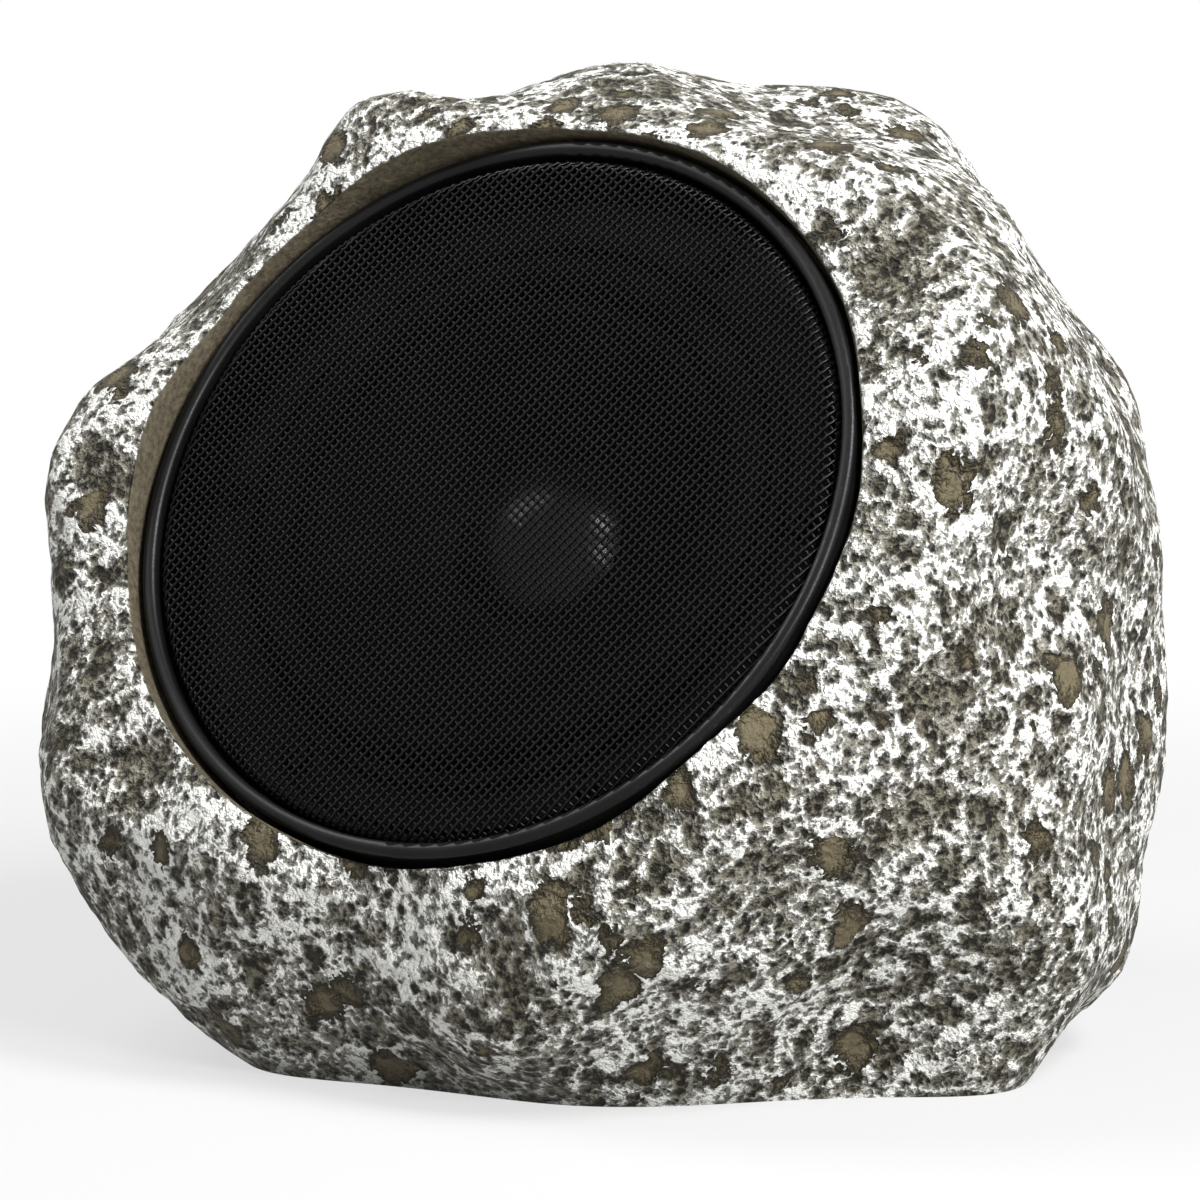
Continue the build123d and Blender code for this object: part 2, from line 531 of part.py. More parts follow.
# Driver chassis, gasket, inserts and screws
driver_gasket = tube(DRIVER_HOLE_RADIUS, FLANGE_RADIUS, 0, DRIVER_GASKET_THICKNESS)
driver_basket = turned(
    (FLANGE_RADIUS, DRIVER_GASKET_THICKNESS),
    (FLANGE_RADIUS, FLANGE_TOP),
    (FLANGE_INNER_RADIUS, FLANGE_TOP),
    (BASKET_NECK_RADIUS, -BASKET_NECK_DEPTH),
    (SPIDER_SEAT_RADIUS, SPIDER_SEAT),
    (BASKET_CUP_RADIUS, SPIDER_SEAT),
    (BASKET_CUP_RADIUS, SHEET_THICKNESS - BASKET_DEPTH),
    (GAP_OUTER_RADIUS + SLIDE_CLEARANCE, SHEET_THICKNESS - BASKET_DEPTH),
    (GAP_OUTER_RADIUS + SLIDE_CLEARANCE, -BASKET_DEPTH),
    (BASKET_CUP_RADIUS + SHEET_THICKNESS, -BASKET_DEPTH),
    (BASKET_CUP_RADIUS + SHEET_THICKNESS, SPIDER_SEAT - SHEET_THICKNESS),
    (SPIDER_SEAT_RADIUS + SHEET_THICKNESS, SPIDER_SEAT - SHEET_THICKNESS),
    (BASKET_NECK_RADIUS + SHEET_THICKNESS, -BASKET_NECK_DEPTH),
    (FLANGE_INNER_RADIUS + SHEET_THICKNESS, DRIVER_GASKET_THICKNESS),
)
window_low = SPIDER_SEAT_RADIUS + WINDOW_MARGIN
window_high = BASKET_NECK_RADIUS - WINDOW_MARGIN
window_outline = Polyline(
    (window_low, 0, -BASKET_DEPTH),
    (window_high, 0, -BASKET_DEPTH),
    (window_high, 0, 0),
    (window_low, 0, 0),
    close=True,
)
window = Rot(0, 0, -WINDOW_ANGLE / 2) * revolve(make_face(window_outline), SPIN, WINDOW_ANGLE)
for place in circle_of(WINDOW_COUNT, 0, -90):
    driver_basket -= place * window
for place in DRIVER_SCREW_PLACES:
    driver_basket -= place * rod(SCREW_RADIUS + SLIDE_CLEARANCE, 0, FLANGE_TOP)
    driver_gasket -= place * rod(INSERT_RADIUS, 0, FLANGE_TOP)
driver_inserts = [place * insert() for place in DRIVER_SCREW_PLACES]
flange_seat = Pos(0, 0, FLANGE_TOP)
driver_screws = [place * flange_seat * screw(DRIVER_SCREW_LENGTH) for place in DRIVER_SCREW_PLACES]

# Motor: front plate, ring magnet, and back plate with the vented pole
top_plate = tube(GAP_OUTER_RADIUS, TOP_PLATE_RADIUS, PLATE_BOTTOM, -BASKET_DEPTH)
magnet = tube(MAGNET_INNER_RADIUS, MAGNET_RADIUS, MAGNET_BOTTOM, PLATE_BOTTOM)
pole_yoke = rod(TOP_PLATE_RADIUS, MAGNET_BOTTOM - YOKE_THICKNESS, MAGNET_BOTTOM)
pole_yoke += rod(POLE_RADIUS, MAGNET_BOTTOM, -BASKET_DEPTH)
pole_yoke -= rod(POLE_VENT_RADIUS, MAGNET_BOTTOM - YOKE_THICKNESS, -BASKET_DEPTH)

# Moving parts: cone with its neck collar, dust cap, and voice coil
cone_neck = FORMER_OUTER_RADIUS + GLUE_GAP
cone_lip = CONE_RIM_RADIUS - CONE_RIM_WIDTH
cone_slope = (FLANGE_TOP + CONE_NECK_DEPTH) / (cone_lip - cone_neck)
speaker_cone = turned(
    (cone_neck, -CONE_NECK_DEPTH),
    (cone_lip, FLANGE_TOP),
    (CONE_RIM_RADIUS, FLANGE_TOP),
    (CONE_RIM_RADIUS, FLANGE_TOP - CONE_THICKNESS),
    (cone_lip, FLANGE_TOP - CONE_THICKNESS),
    (cone_neck + CONE_THICKNESS, -CONE_NECK_DEPTH - CONE_THICKNESS + CONE_THICKNESS * cone_slope),
    (cone_neck + CONE_THICKNESS, -CONE_NECK_DEPTH - CONE_COLLAR),
    (cone_neck, -CONE_NECK_DEPTH - CONE_COLLAR),
)
cap_foot = -CONE_NECK_DEPTH + (DUST_CAP_RADIUS - cone_neck) * cone_slope + GLUE_GAP
cap_sphere = (DUST_CAP_RADIUS**2 + DUST_CAP_HEIGHT**2) / (2 * DUST_CAP_HEIGHT)
cap_ball = Sphere(cap_sphere) - Sphere(cap_sphere - DUST_CAP_THICKNESS)
dust_cap = Pos(0, 0, cap_foot + DUST_CAP_HEIGHT - cap_sphere) * cap_ball
dust_cap &= rod(2 * cap_sphere, cap_foot, cap_foot + 2 * DUST_CAP_HEIGHT)
winding_middle = -BASKET_DEPTH - TOP_PLATE_THICKNESS / 2
winding_bottom = winding_middle - WINDING_LENGTH / 2
coil_former = tube(FORMER_INNER_RADIUS, FORMER_OUTER_RADIUS, winding_bottom - FORMER_TAIL, -CONE_NECK_DEPTH)
coil_winding = tube(
    FORMER_OUTER_RADIUS + GLUE_GAP, WINDING_OUTER_RADIUS, winding_bottom, winding_bottom + WINDING_LENGTH
)

# Suspension: half roll surround with its clamping ring, and corrugated spider
roll_middle = (CONE_RIM_RADIUS + FLANGE_INNER_RADIUS) / 2
roll_radius = (FLANGE_INNER_RADIUS - CONE_RIM_RADIUS) / 2
lip_outer = FLANGE_INNER_RADIUS + SURROUND_LIP
lip_high = FLANGE_TOP + SURROUND_THICKNESS
roll = Circle(roll_radius + SURROUND_THICKNESS) - Circle(roll_radius)
roll &= Pos(0, roll_radius) * Rectangle(4 * roll_radius, 2 * roll_radius)
section = Pos(roll_middle, FLANGE_TOP) * roll
for low, high in ((cone_lip, CONE_RIM_RADIUS), (FLANGE_INNER_RADIUS, lip_outer)):
    lip = Rectangle(high - low, SURROUND_THICKNESS)
    section += Pos((low + high) / 2, FLANGE_TOP + SURROUND_THICKNESS / 2) * lip
cone_surround = revolve(Plane.XZ * section, SPIN)
trim_inner = FLANGE_INNER_RADIUS + 2 * SURROUND_THICKNESS
trim_gasket = tube(trim_inner, lip_outer, lip_high, lip_high + TRIM_GASKET_THICKNESS)
spider_low = FORMER_OUTER_RADIUS + GLUE_GAP
wave_low = spider_low + SPIDER_COLLAR
wave_points = []
spider_points = SPIDER_WAVE_POINTS * SPIDER_WAVES
for step in range(spider_points + 1):
    share = step / spider_points
    rise = SPIDER_WAVE * math.sin(2 * math.pi * SPIDER_WAVES * share)
    wave_points.append((wave_low + (BASKET_CUP_RADIUS - wave_low) * share, 0, SPIDER_SEAT + rise))
thick = Vector(0, 0, SPIDER_THICKNESS)
spider_high = SPIDER_SEAT_RADIUS - SLIDE_CLEARANCE
lower_side = [(spider_low, 0, SPIDER_SEAT), *wave_points, (spider_high, 0, SPIDER_SEAT)]
upper_side = [Vector(*point) + thick for point in reversed(lower_side)]
spider = revolve(make_face(Polyline(*lower_side, *upper_side, close=True)), SPIN)

# Terminal board and blades under the chassis, and the flexible leads up to the cone
board_start = BASKET_CUP_RADIUS + SHEET_THICKNESS + FIT_CLEARANCE
board_end = board_start + BOARD_LENGTH
board_top = SPIDER_SEAT - SHEET_THICKNESS
board_bottom = board_top - BOARD_THICKNESS
terminal_board = Pos(0, -(board_start + board_end) / 2, (board_top + board_bottom) / 2) * Box(
    BOARD_WIDTH, BOARD_LENGTH, BOARD_THICKNESS
)
terminal_tabs = []
tinsel_leads = []
tab_end = board_end + TAB_REACH
tinsel_start = board_end - TINSEL_BOARD_MARGIN
tinsel_low = board_top + TINSEL_RADIUS
cone_back = (TINSEL_CONE_RADIUS - cone_neck) * cone_slope - CONE_NECK_DEPTH - CONE_THICKNESS
tinsel_high = cone_back - 2 * TINSEL_RADIUS
for side in (-1, 1):
    across = side * TAB_SPACING / 2
    blade = Box(TAB_WIDTH, TAB_LENGTH, TAB_THICKNESS)
    terminal_tabs.append(Pos(across, TAB_LENGTH / 2 - tab_end, board_bottom - TAB_THICKNESS / 2) * blade)
    bow_y = -(tinsel_start + TINSEL_CONE_RADIUS) / 2 - TINSEL_BOW
    bow_z = (tinsel_low + tinsel_high) / 2 + TINSEL_BOW
    arc = ThreePointArc(
        (across, -tinsel_start, tinsel_low),
        (across, bow_y, bow_z),
        (across, -TINSEL_CONE_RADIUS, tinsel_high),
    )
    tinsel_leads.append(sweep(Plane(arc @ 0, z_dir=arc % 0) * Circle(TINSEL_RADIUS), arc))


def lead(side):
    """Insulated wire from a blade's end to its pole of the terminal block."""
    start = Vector(side * TAB_SPACING / 2, -tab_end - GLUE_GAP, board_bottom - TAB_THICKNESS / 2)
    block_face = BLOCK_Y - block_size_y / 2
    pole_x = side * BLOCK_POLE_SPACING / 2
    points = [
        SEAT.from_local_coords(start),
        SEAT.from_local_coords(start - Vector(0, LEAD_STUB, 0)),
        Vector(pole_x, -76, 32),
        Vector(pole_x, -52, 21),
        Vector(pole_x, -18, 18),
        Vector(pole_x, block_face - LEAD_STUB, pole_height),
        Vector(pole_x, block_face + LEAD_GRIP, pole_height),
    ]
    radii = []
    for before, corner, after in zip(points, points[1:], points[2:]):
        turn = math.radians((corner - before).get_angle(after - corner))
        shorter = min((corner - before).length, (after - corner).length)
        radii.append(LEAD_ARC_SHARE * shorter / math.tan(turn / 2))
    path = FilletPolyline(*points, radius=radii)
    print("lead radii", [round(radius) for radius in radii], "length", round(path.length))
    return sweep(Plane(path @ 0, z_dir=path % 0) * Circle(LEAD_RADIUS), path)


# Cable gland: body, sealing washer, lock nut, rubber seal and cap
def hexagon(across, low, high):
    """Six sided prism along local Z."""
    return Pos(0, 0, low) * extrude(RegularPolygon(across / 2, 6, major_radius=False), amount=high - low)


hex_top = GLAND_WASHER_THICKNESS + GLAND_HEX_HEIGHT
neck_top = hex_top + GLAND_NECK_LENGTH
shank_end = -GLAND_WALL - GLAND_NUT_HEIGHT - GLAND_NUT_REACH
seal_low = neck_top - GLAND_SEAL_LENGTH
cap_top = neck_top + GLAND_CAP_FRONT
gland_body = hexagon(GLAND_HEX_ACROSS, GLAND_WASHER_THICKNESS, hex_top)
gland_body += rod(GLAND_THREAD_RADIUS, shank_end, GLAND_WASHER_THICKNESS)
gland_body += rod(GLAND_NECK_RADIUS, hex_top, neck_top)
gland_body -= rod(GLAND_PASSAGE_RADIUS, shank_end, neck_top)
gland_body -= rod(GLAND_SEAL_RADIUS + FIT_CLEARANCE, seal_low, neck_top)
gland_seal = tube(GLAND_BORE_RADIUS, GLAND_SEAL_RADIUS, seal_low, neck_top)
gland_washer = tube(GLAND_THREAD_RADIUS + FIT_CLEARANCE, GLAND_HEX_ACROSS / 2, 0, GLAND_WASHER_THICKNESS)
gland_nut = hexagon(GLAND_HEX_ACROSS, -GLAND_WALL - GLAND_NUT_HEIGHT, -GLAND_WALL)
gland_nut -= rod(GLAND_THREAD_RADIUS + FIT_CLEARANCE, -far_out, 0)
gland_cap = rod(GLAND_CAP_ACROSS / 2 + GLAND_CAP_CORNER, hex_top + SLIDE_CLEARANCE, cap_top)
gland_cap = fillet(gland_cap.edges().group_by(SPIN)[-1], GLAND_CAP_ROUND)
gland_cap &= hexagon(GLAND_CAP_ACROSS, hex_top, cap_top)
gland_cap -= rod(GLAND_NECK_RADIUS + FIT_CLEARANCE, hex_top, neck_top + FIT_CLEARANCE)
gland_cap -= rod(GLAND_BORE_RADIUS, hex_top, cap_top)


def on_axis(*shapes):
    """Pieces built about local Z, set on the speaker's axis."""
    return [SEAT.location * shape for shape in shapes]


def at_gland(shape):
    """Piece built about local Z, set in the gland's seat."""
    return [GLAND.location * shape]


NODES = {
    "rock_shell": [rock_shell],
    "base_plate": [base_plate],
    "base_gasket": [base_gasket],
    "base_inserts": base_inserts,
    "base_screws": base_screws,
    "terminal_block": [terminal_block],
    "clamp_tubes": clamp_tubes,
    "clamp_screws": clamp_screws,
    "block_screw": [block_screw],
    "grille_ring": on_axis(grille_ring),
    "grille_mesh": on_axis(grille_mesh),
    "driver_gasket": on_axis(driver_gasket),
    "driver_basket": on_axis(driver_basket),
    "driver_inserts": on_axis(*driver_inserts),
    "driver_screws": on_axis(*driver_screws),
    "top_plate": on_axis(top_plate),
    "magnet": on_axis(magnet),
    "pole_yoke": on_axis(pole_yoke),
    "speaker_cone": on_axis(speaker_cone),
    "dust_cap": on_axis(dust_cap),
    "coil_former": on_axis(coil_former),
    "coil_winding": on_axis(coil_winding),
    "cone_surround": on_axis(cone_surround),
    "trim_gasket": on_axis(trim_gasket),
    "spider": on_axis(spider),
    "terminal_board": on_axis(terminal_board),
    "terminal_tabs": on_axis(*terminal_tabs),
    "tinsel_leads": on_axis(*tinsel_leads),
    "lead_positive": [lead(1)],
    "lead_negative": [lead(-1)],
    "gland_body": at_gland(gland_body),
    "gland_washer": at_gland(gland_washer),
    "gland_nut": at_gland(gland_nut),
    "gland_seal": at_gland(gland_seal),
    "gland_cap": at_gland(gland_cap),
}
os.makedirs("parts", exist_ok=True)
for name, shapes in NODES.items():
    solids = [solid for shape in shapes for solid in shape.solids()]
    node = Compound(children=solids) if len(solids) > 1 else solids[0]
    export_step(node, f"parts/{name}.step")
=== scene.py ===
import bpy
import itertools
import json
import math
import numpy as np
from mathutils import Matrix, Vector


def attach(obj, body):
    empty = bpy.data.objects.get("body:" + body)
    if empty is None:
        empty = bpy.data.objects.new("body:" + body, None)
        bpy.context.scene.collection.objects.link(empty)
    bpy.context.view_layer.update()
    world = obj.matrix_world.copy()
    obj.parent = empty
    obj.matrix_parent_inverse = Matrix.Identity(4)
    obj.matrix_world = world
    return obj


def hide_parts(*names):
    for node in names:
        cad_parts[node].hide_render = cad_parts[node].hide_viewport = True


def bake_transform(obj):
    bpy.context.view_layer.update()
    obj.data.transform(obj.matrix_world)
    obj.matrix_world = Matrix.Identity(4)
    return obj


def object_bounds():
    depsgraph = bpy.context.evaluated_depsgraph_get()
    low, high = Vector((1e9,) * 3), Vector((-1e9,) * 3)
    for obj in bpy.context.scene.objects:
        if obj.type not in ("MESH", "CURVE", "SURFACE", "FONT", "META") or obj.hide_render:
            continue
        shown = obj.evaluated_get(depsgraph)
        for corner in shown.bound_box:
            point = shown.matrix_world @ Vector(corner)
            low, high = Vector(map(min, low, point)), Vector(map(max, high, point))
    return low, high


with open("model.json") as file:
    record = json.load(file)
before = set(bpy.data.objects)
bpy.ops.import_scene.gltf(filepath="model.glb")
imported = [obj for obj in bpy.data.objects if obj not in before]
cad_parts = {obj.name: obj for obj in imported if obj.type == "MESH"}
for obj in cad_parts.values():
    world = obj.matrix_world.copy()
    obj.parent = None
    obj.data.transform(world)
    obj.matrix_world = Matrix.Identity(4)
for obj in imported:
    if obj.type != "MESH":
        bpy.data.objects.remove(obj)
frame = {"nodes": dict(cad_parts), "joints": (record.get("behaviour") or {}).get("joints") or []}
cad_low, cad_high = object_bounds()

# Rock: one hollow casting in stone filled resin, with a round recess for the grille in its leaning
# front and a flat foot. It is moulded off a carved rock, stained dark olive brown, and dry brushed in
# cream, so that the paint catches on the high grain and misses the pits. Sizes are in millimetres.
MM = 0.001
ROCK_CENTRE = np.array([0.0, -5.0, 102.0])
FACET_SHARPNESS = 22.0
# Facets of the form: heading, elevation, and distance from the centre
FACETS = {
    "front": (-88, 28.5, 85.5),
    "front_low": (-92, -14, 131),
    "front_under": (-100, -48, 138.5),
    "left_front": (-148, 2, 149.5),
    "left_front_low": (-150, -40, 147),
    "left_front_top": (-148, 42, 138),
    "left": (180, 4, 130),
    "left_low": (180, -40, 138),
    "left_back_top": (150, 42, 135),
    "flank": (-24, 6, 133),
    "flank_low": (-45, -32, 133),
    "right": (8, 0, 136),
    "right_edge": (36, 2, 131),
    "right_low": (25, -29, 143),
    "right_top": (25, 36, 138),
    "back": (90, 4, 124),
    "back_low": (95, -40, 130),
    "back_top": (95, 45, 138),
    "back_left": (140, 0, 124),
    "top": (-60, 80, 132),
    "top_right": (-10, 60, 144),
}
# Knobs and hollows of the form: heading, elevation, height, and spread in degrees
LUMPS = {
    "crown_left": (-158, 63, 9, 6),
    "crown_gap": (175, 68, -8, 6),
    "crown_back_dip": (140, 76, 0.5, 7),
    "crown_middle": (116, 81, 6, 7),
    "crown_dip": (80, 72, -4, 6),
    "crown_right": (37, 55, 3, 6),
    "step_right": (45, 47, -4.5, 5),
    "ledge_right": (5, 58, 0.5, 6),
    "hollow_under_ledge": (-24, 44, -7, 7),
    "ridge_right": (-18, 27, 4, 8),
    "right_knob": (17, -2, 2.5, 5),
    "right_low_knob": (13, -29, 6.5, 7),
    "hollow_upper_left": (-157, 44, -3, 9),
    "shoulder_left": (-147, 18, 7, 7),
    "hollow_left": (-140, 6, -1, 8),
    "belly_left": (-134, -15, -2, 9),
    "dent_front": (-76, -22, -3, 8),
    "dent_right": (-38, -10, -4, 8),
    "base_left": (-121, -43, 3.5, 7),
    "base_front": (-75, -46, -5, 7),
    "base_corner": (-71, -36, 2.5, 7),
    "base_right": (-15, -39, 10, 6),
    "base_step": (3, -41, -7, 5),
    "back_knob": (70, 25, 6, 12),
    "back_hollow": (112, -2, -7, 13),
    "back_low_knob": (60, -22, 5, 10),
    "left_ridge": (160, 15, 5, 11),
    "left_hollow": (180, -16, -6, 10),
}
SWELL_HEIGHT = 0.9
# Broad waves over the form: heading, elevation, radians of the wave in one radius, and phase
SWELLS = {
    "right": (20, 10, 14, 4.8),
    "back": (75, -15, 18, 6.1),
    "left_back": (135, 20, 16, 3.3),
    "front_up": (-35, 45, 18, 2.5),
    "down": (10, -60, 14, 5.9),
    "up": (60, 65, 18, 0.3),
}
# Smooth bare hollows of the carving: heading, elevation, depth, and spread in degrees
HOLLOWS = {
    "left_belly": (-122, -10, 2.6, 3.0),
    "front_right": (-50, -9, 2.0, 2.6),
    "flank_low": (-32, -13, 2.6, 2.8),
    "under_ledge": (-24, 44, 2.0, 2.6),
    "front_low": (-76, -26, 1.8, 2.2),
    "left_lip": (-132, 4, 1.6, 3.4),
    "flank_middle": (-30, -2, 2.2, 3.4),
}
AXIS = np.array(frame["joints"][0]["axis"])
ACROSS = np.array([1.0, 0.0, 0.0])
ALONG = np.cross(AXIS, ACROSS)
SEAT_OFFSET = 67.0
RECESS_RADIUS = 95.5
DRIVER_HOLE_RADIUS = 71.5
BAFFLE_THICKNESS = 9.0
ROCK_WALL = 6.0
ROUND_STEPS = 576
SKIN_ROWS = 146
HALVINGS = 40
LIP_LEAN = (0.2, 1.4)
FOOT_ELEVATION = (-75.0, 0.0)


def unit(heading, elevation):
    """Unit vectors at headings round Z from +X and at elevations, in degrees."""
    turn, rise = np.radians(heading), np.radians(elevation)
    return np.stack([np.cos(rise) * np.cos(turn), np.cos(rise) * np.sin(turn), np.sin(rise) + 0 * turn], -1)


def bump_on(ways, heading, elevation, spread):
    """Round bump of height 1 on the ball of directions: a bell curve of the angle from its middle."""
    return np.exp((ways @ unit(heading, elevation) - 1) / math.radians(spread) ** 2)


def rock_radius(ways):
    """Distance from the rock's centre: facets met by a high power mean, so that their edges are rounded,
    plus a bell shaped knob or hollow for each lump, and plane waves that cross in all directions."""
    gauge = sum(
        (np.maximum(ways @ unit(heading, elevation), 0) / distance) ** FACET_SHARPNESS
        for heading, elevation, distance in FACETS.values()
    )
    radius = gauge ** (-1 / FACET_SHARPNESS)
    for heading, elevation, height, spread in LUMPS.values():
        radius = radius + height * bump_on(ways, heading, elevation, spread)
    for heading, elevation, count, phase in SWELLS.values():
        radius = radius + SWELL_HEIGHT * np.sin(count * (ways @ unit(heading, elevation)) + phase)
    return radius


def rock_skin(ways, inset=0.0):
    """Points of the rock's surface in those directions, moved in by an inset."""
    return ROCK_CENTRE + ways * (rock_radius(ways) - inset)[..., None]


def lip_ways(turns):
    """Directions in which the surface is the recess's radius away from the speaker's axis, by repeated
    halving of the angle from the axis."""
    outward = np.cos(turns)[:, None] * ACROSS + np.sin(turns)[:, None] * ALONG
    low, high = (np.full(len(turns), limit) for limit in LIP_LEAN)
    for _ in range(HALVINGS):
        lean = ((low + high) / 2)[:, None]
        ways = np.cos(lean) * AXIS + np.sin(lean) * outward
        wide = rock_radius(ways) * np.sin(lean[:, 0]) > RECESS_RADIUS
        low, high = np.where(wide, low, lean[:, 0]), np.where(wide, lean[:, 0], high)
    return ways


def foot_ways(turns, inset=0.0, floor=0.0):
    """Directions at headings in which the surface, moved in by an inset, meets a level floor, by repeated
    halving of the elevation."""
    low, high = (np.full(len(turns), limit) for limit in FOOT_ELEVATION)
    for _ in range(HALVINGS):
        elevation = (low + high) / 2
        ways = unit(np.degrees(turns), elevation)
        under = rock_skin(ways, inset)[:, 2] < floor
        low, high = np.where(under, elevation, low), np.where(under, high, elevation)
    return ways


def between(start, end, shares):
    """Rows of directions turned evenly from start to end along the great circle."""
    angle = np.arccos(np.clip((start * end).sum(-1), -1, 1))[None, :, None]
    share = shares[:, None, None]
    return (np.sin((1 - share) * angle) * start + np.sin(share * angle) * end) / np.sin(angle)


def hashed(cells, seed):
    """Random number from 0 to 1 for each whole numbered cell: its numbers times large primes, mixed twice."""
    mixed = cells.astype(np.int64) @ np.array([73856093, 19349663, 83492791]) + seed * 40503
    mixed = (mixed ^ (mixed >> 13)) * 1274126177
    mixed = mixed ^ (mixed >> 16)
    return (mixed & 0xFFFFFF) / 0x1000000


def swell(points, size, seed):
    """Smooth random field from about -1 to 1: random slopes at the corners of cubes of a size, eased
    together by the fifth power fade."""
    place = points / size
    cell = np.floor(place)
    part = place - cell
    fade = part**3 * (part * (part * 6 - 15) + 10)
    total = np.zeros(points.shape[:-1])
    for corner in itertools.product((0, 1), repeat=3):
        slope = np.stack([hashed(cell + corner, seed + 7 * way) for way in range(3)], -1) * 2 - 1
        weight = np.where(corner, fade, 1 - fade).prod(-1)
        total += weight * (slope * (part - corner)).sum(-1)
    return 1.6 * total


def rough(points, size, octaves, seed):
    """Sum of random fields, each half the size and half the height of the one before."""
    return sum(swell(points, size / 2**step, seed + step) / 2**step for step in range(octaves))


def eased(low, high, value):
    """Smooth step from 0 at low to 1 at high."""
    share = np.clip((value - low) / (high - low), 0, 1)
    return share * share * (3 - 2 * share)


def outward_normals(rows):
    """Unit normals of a grid that closes on itself along its second parameter, away from the rock's centre:
    the steps along both parameters, crossed."""
    round_way = np.roll(rows, -1, 1) - np.roll(rows, 1, 1)
    normal = np.cross(round_way, np.gradient(rows, axis=0))
    normal /= np.linalg.norm(normal, axis=-1, keepdims=True)
    return normal * np.sign((normal * (rows - ROCK_CENTRE)).sum(-1, keepdims=True))


turns = np.linspace(0, 2 * math.pi, ROUND_STEPS, endpoint=False)
lip, foot = lip_ways(turns), foot_ways(turns)
shares = np.linspace(0, 1, SKIN_ROWS)
ways = between(lip, foot, shares)
skin = rock_skin(ways)
normals = outward_normals(skin)

# Carving on the form: ridges where a random field crosses zero, a fine roughness, and the named hollows.
# It fades out at the foot. At the recess it fades to less than half, and is pushed along the axis.
RIDGE_SIZE, RIDGE_HEIGHT, RIDGE_SEED = 34.0, 1.8, 21
RIDGE_ROUNDING = 0.14
RIDGE_SHARPNESS = 6
ROUGH_SIZE, ROUGH_HEIGHT, ROUGH_SEED = 9.0, 0.5, 71
EDGE_FADE = 9.0
LIP_FADE = 0.55
MEAN_RADIUS = 130.0
field = rough(skin, RIDGE_SIZE, octaves=2, seed=RIDGE_SEED)
ridge = (1 - np.hypot(field, RIDGE_ROUNDING)).clip(0, 1) ** RIDGE_SHARPNESS
hollow = sum(
    depth * bump_on(ways, heading, elevation, spread)
    for heading, elevation, depth, spread in HOLLOWS.values()
)
from_lip = shares[:, None] * np.arccos((lip * foot).sum(-1)) * MEAN_RADIUS
near_lip = 1 - eased(0.0, EDGE_FADE, from_lip)
off_foot = eased(0.0, EDGE_FADE, skin[..., 2])
carving = RIDGE_HEIGHT * (ridge - 0.5) + ROUGH_HEIGHT * rough(skin, ROUGH_SIZE, octaves=3, seed=ROUGH_SEED)
carving = (carving - hollow) * off_foot * (1 - LIP_FADE * near_lip)
push = normals * (1 - near_lip[..., None]) + AXIS * near_lip[..., None]
carved = skin + push * carving[..., None]

# Thickness of the paint: uneven patches, with more on the ridges and at the lip and less in the hollows
PATCH_SIZE, PATCH_THICKNESS, PATCH_SEED = 26.0, 0.25, 61
RIDGE_THICKNESS, MEAN_RIDGE = 0.25, 0.3
LIP_THICKNESS = 0.2
BARE_DEPTH, BARE_LOSS = 1.8, 0.4
bare = np.clip(hollow / BARE_DEPTH, 0, 1) ** 2
patches = PATCH_THICKNESS * rough(skin, PATCH_SIZE, octaves=2, seed=PATCH_SEED)
thick = patches + RIDGE_THICKNESS * (ridge - MEAN_RIDGE) + LIP_THICKNESS * near_lip - BARE_LOSS * bare

# Chipped round edge of the recess, the turned recess with the driver's hole, the hollow inside, and the
# rebate in the foot
LIP_ROUNDING = 1.2
LIP_WIDENING, LIP_DROP = 0.9, 0.2
CHIPS = ((0.5, 6.0, 81), (0.4, 2.6, 83))
CHIP_LIMITS = (-0.6, 1.0)
WALL_RING_HEIGHT = 12.0
REBATE_INSET, REBATE_DEPTH = 7.7, 6.5
FLANGE_INSET, FLANGE_TOP = 22.0, 15.5
INNER_ROWS = 9
outward = np.cos(turns)[:, None] * ACROSS + np.sin(turns)[:, None] * ALONG
lip_height = (carved[0] - ROCK_CENTRE) @ AXIS - SEAT_OFFSET


def recess_ring(radius, height):
    """Ring about the speaker's axis at a radius and a height above the recess floor."""
    radius, height = (np.broadcast_to(value, turns.shape)[:, None] for value in (radius, height))
    return ROCK_CENTRE + AXIS * (SEAT_OFFSET + height) + outward * radius


def foot_ring(inset, height):
    """Ring that follows the foot's outline, moved in by an inset, at a height."""
    edge = rock_skin(foot) - ROCK_CENTRE
    length = np.linalg.norm(edge[:, :2], axis=1)
    level = edge[:, :2] * (1 - inset / length)[:, None] + ROCK_CENTRE[:2]
    return np.concatenate([level, np.full((len(turns), 1), height)], 1)


chipped = sum(height * swell(carved[0], size, seed) for height, size, seed in CHIPS)
carved[0] = recess_ring(RECESS_RADIUS + LIP_WIDENING + np.clip(chipped, *CHIP_LIMITS), lip_height - LIP_DROP)
inner_ways = between(foot_ways(turns, ROCK_WALL, FLANGE_TOP), lip, np.linspace(0, 1, INNER_ROWS))
inner = rock_skin(inner_ways, ROCK_WALL)
ahead = (inner - ROCK_CENTRE) @ AXIS - (SEAT_OFFSET - BAFFLE_THICKNESS)
inner = inner - AXIS * np.maximum(ahead, 0)[..., None]
foot_rings = [
    foot_ring(REBATE_INSET, 0.0),
    foot_ring(REBATE_INSET, REBATE_DEPTH),
    foot_ring(FLANGE_INSET, REBATE_DEPTH),
    foot_ring(FLANGE_INSET, FLANGE_TOP),
]
corner_rings = [
    recess_ring(DRIVER_HOLE_RADIUS, -BAFFLE_THICKNESS),
    recess_ring(DRIVER_HOLE_RADIUS, 0.0),
    recess_ring(RECESS_RADIUS, 0.0),
]
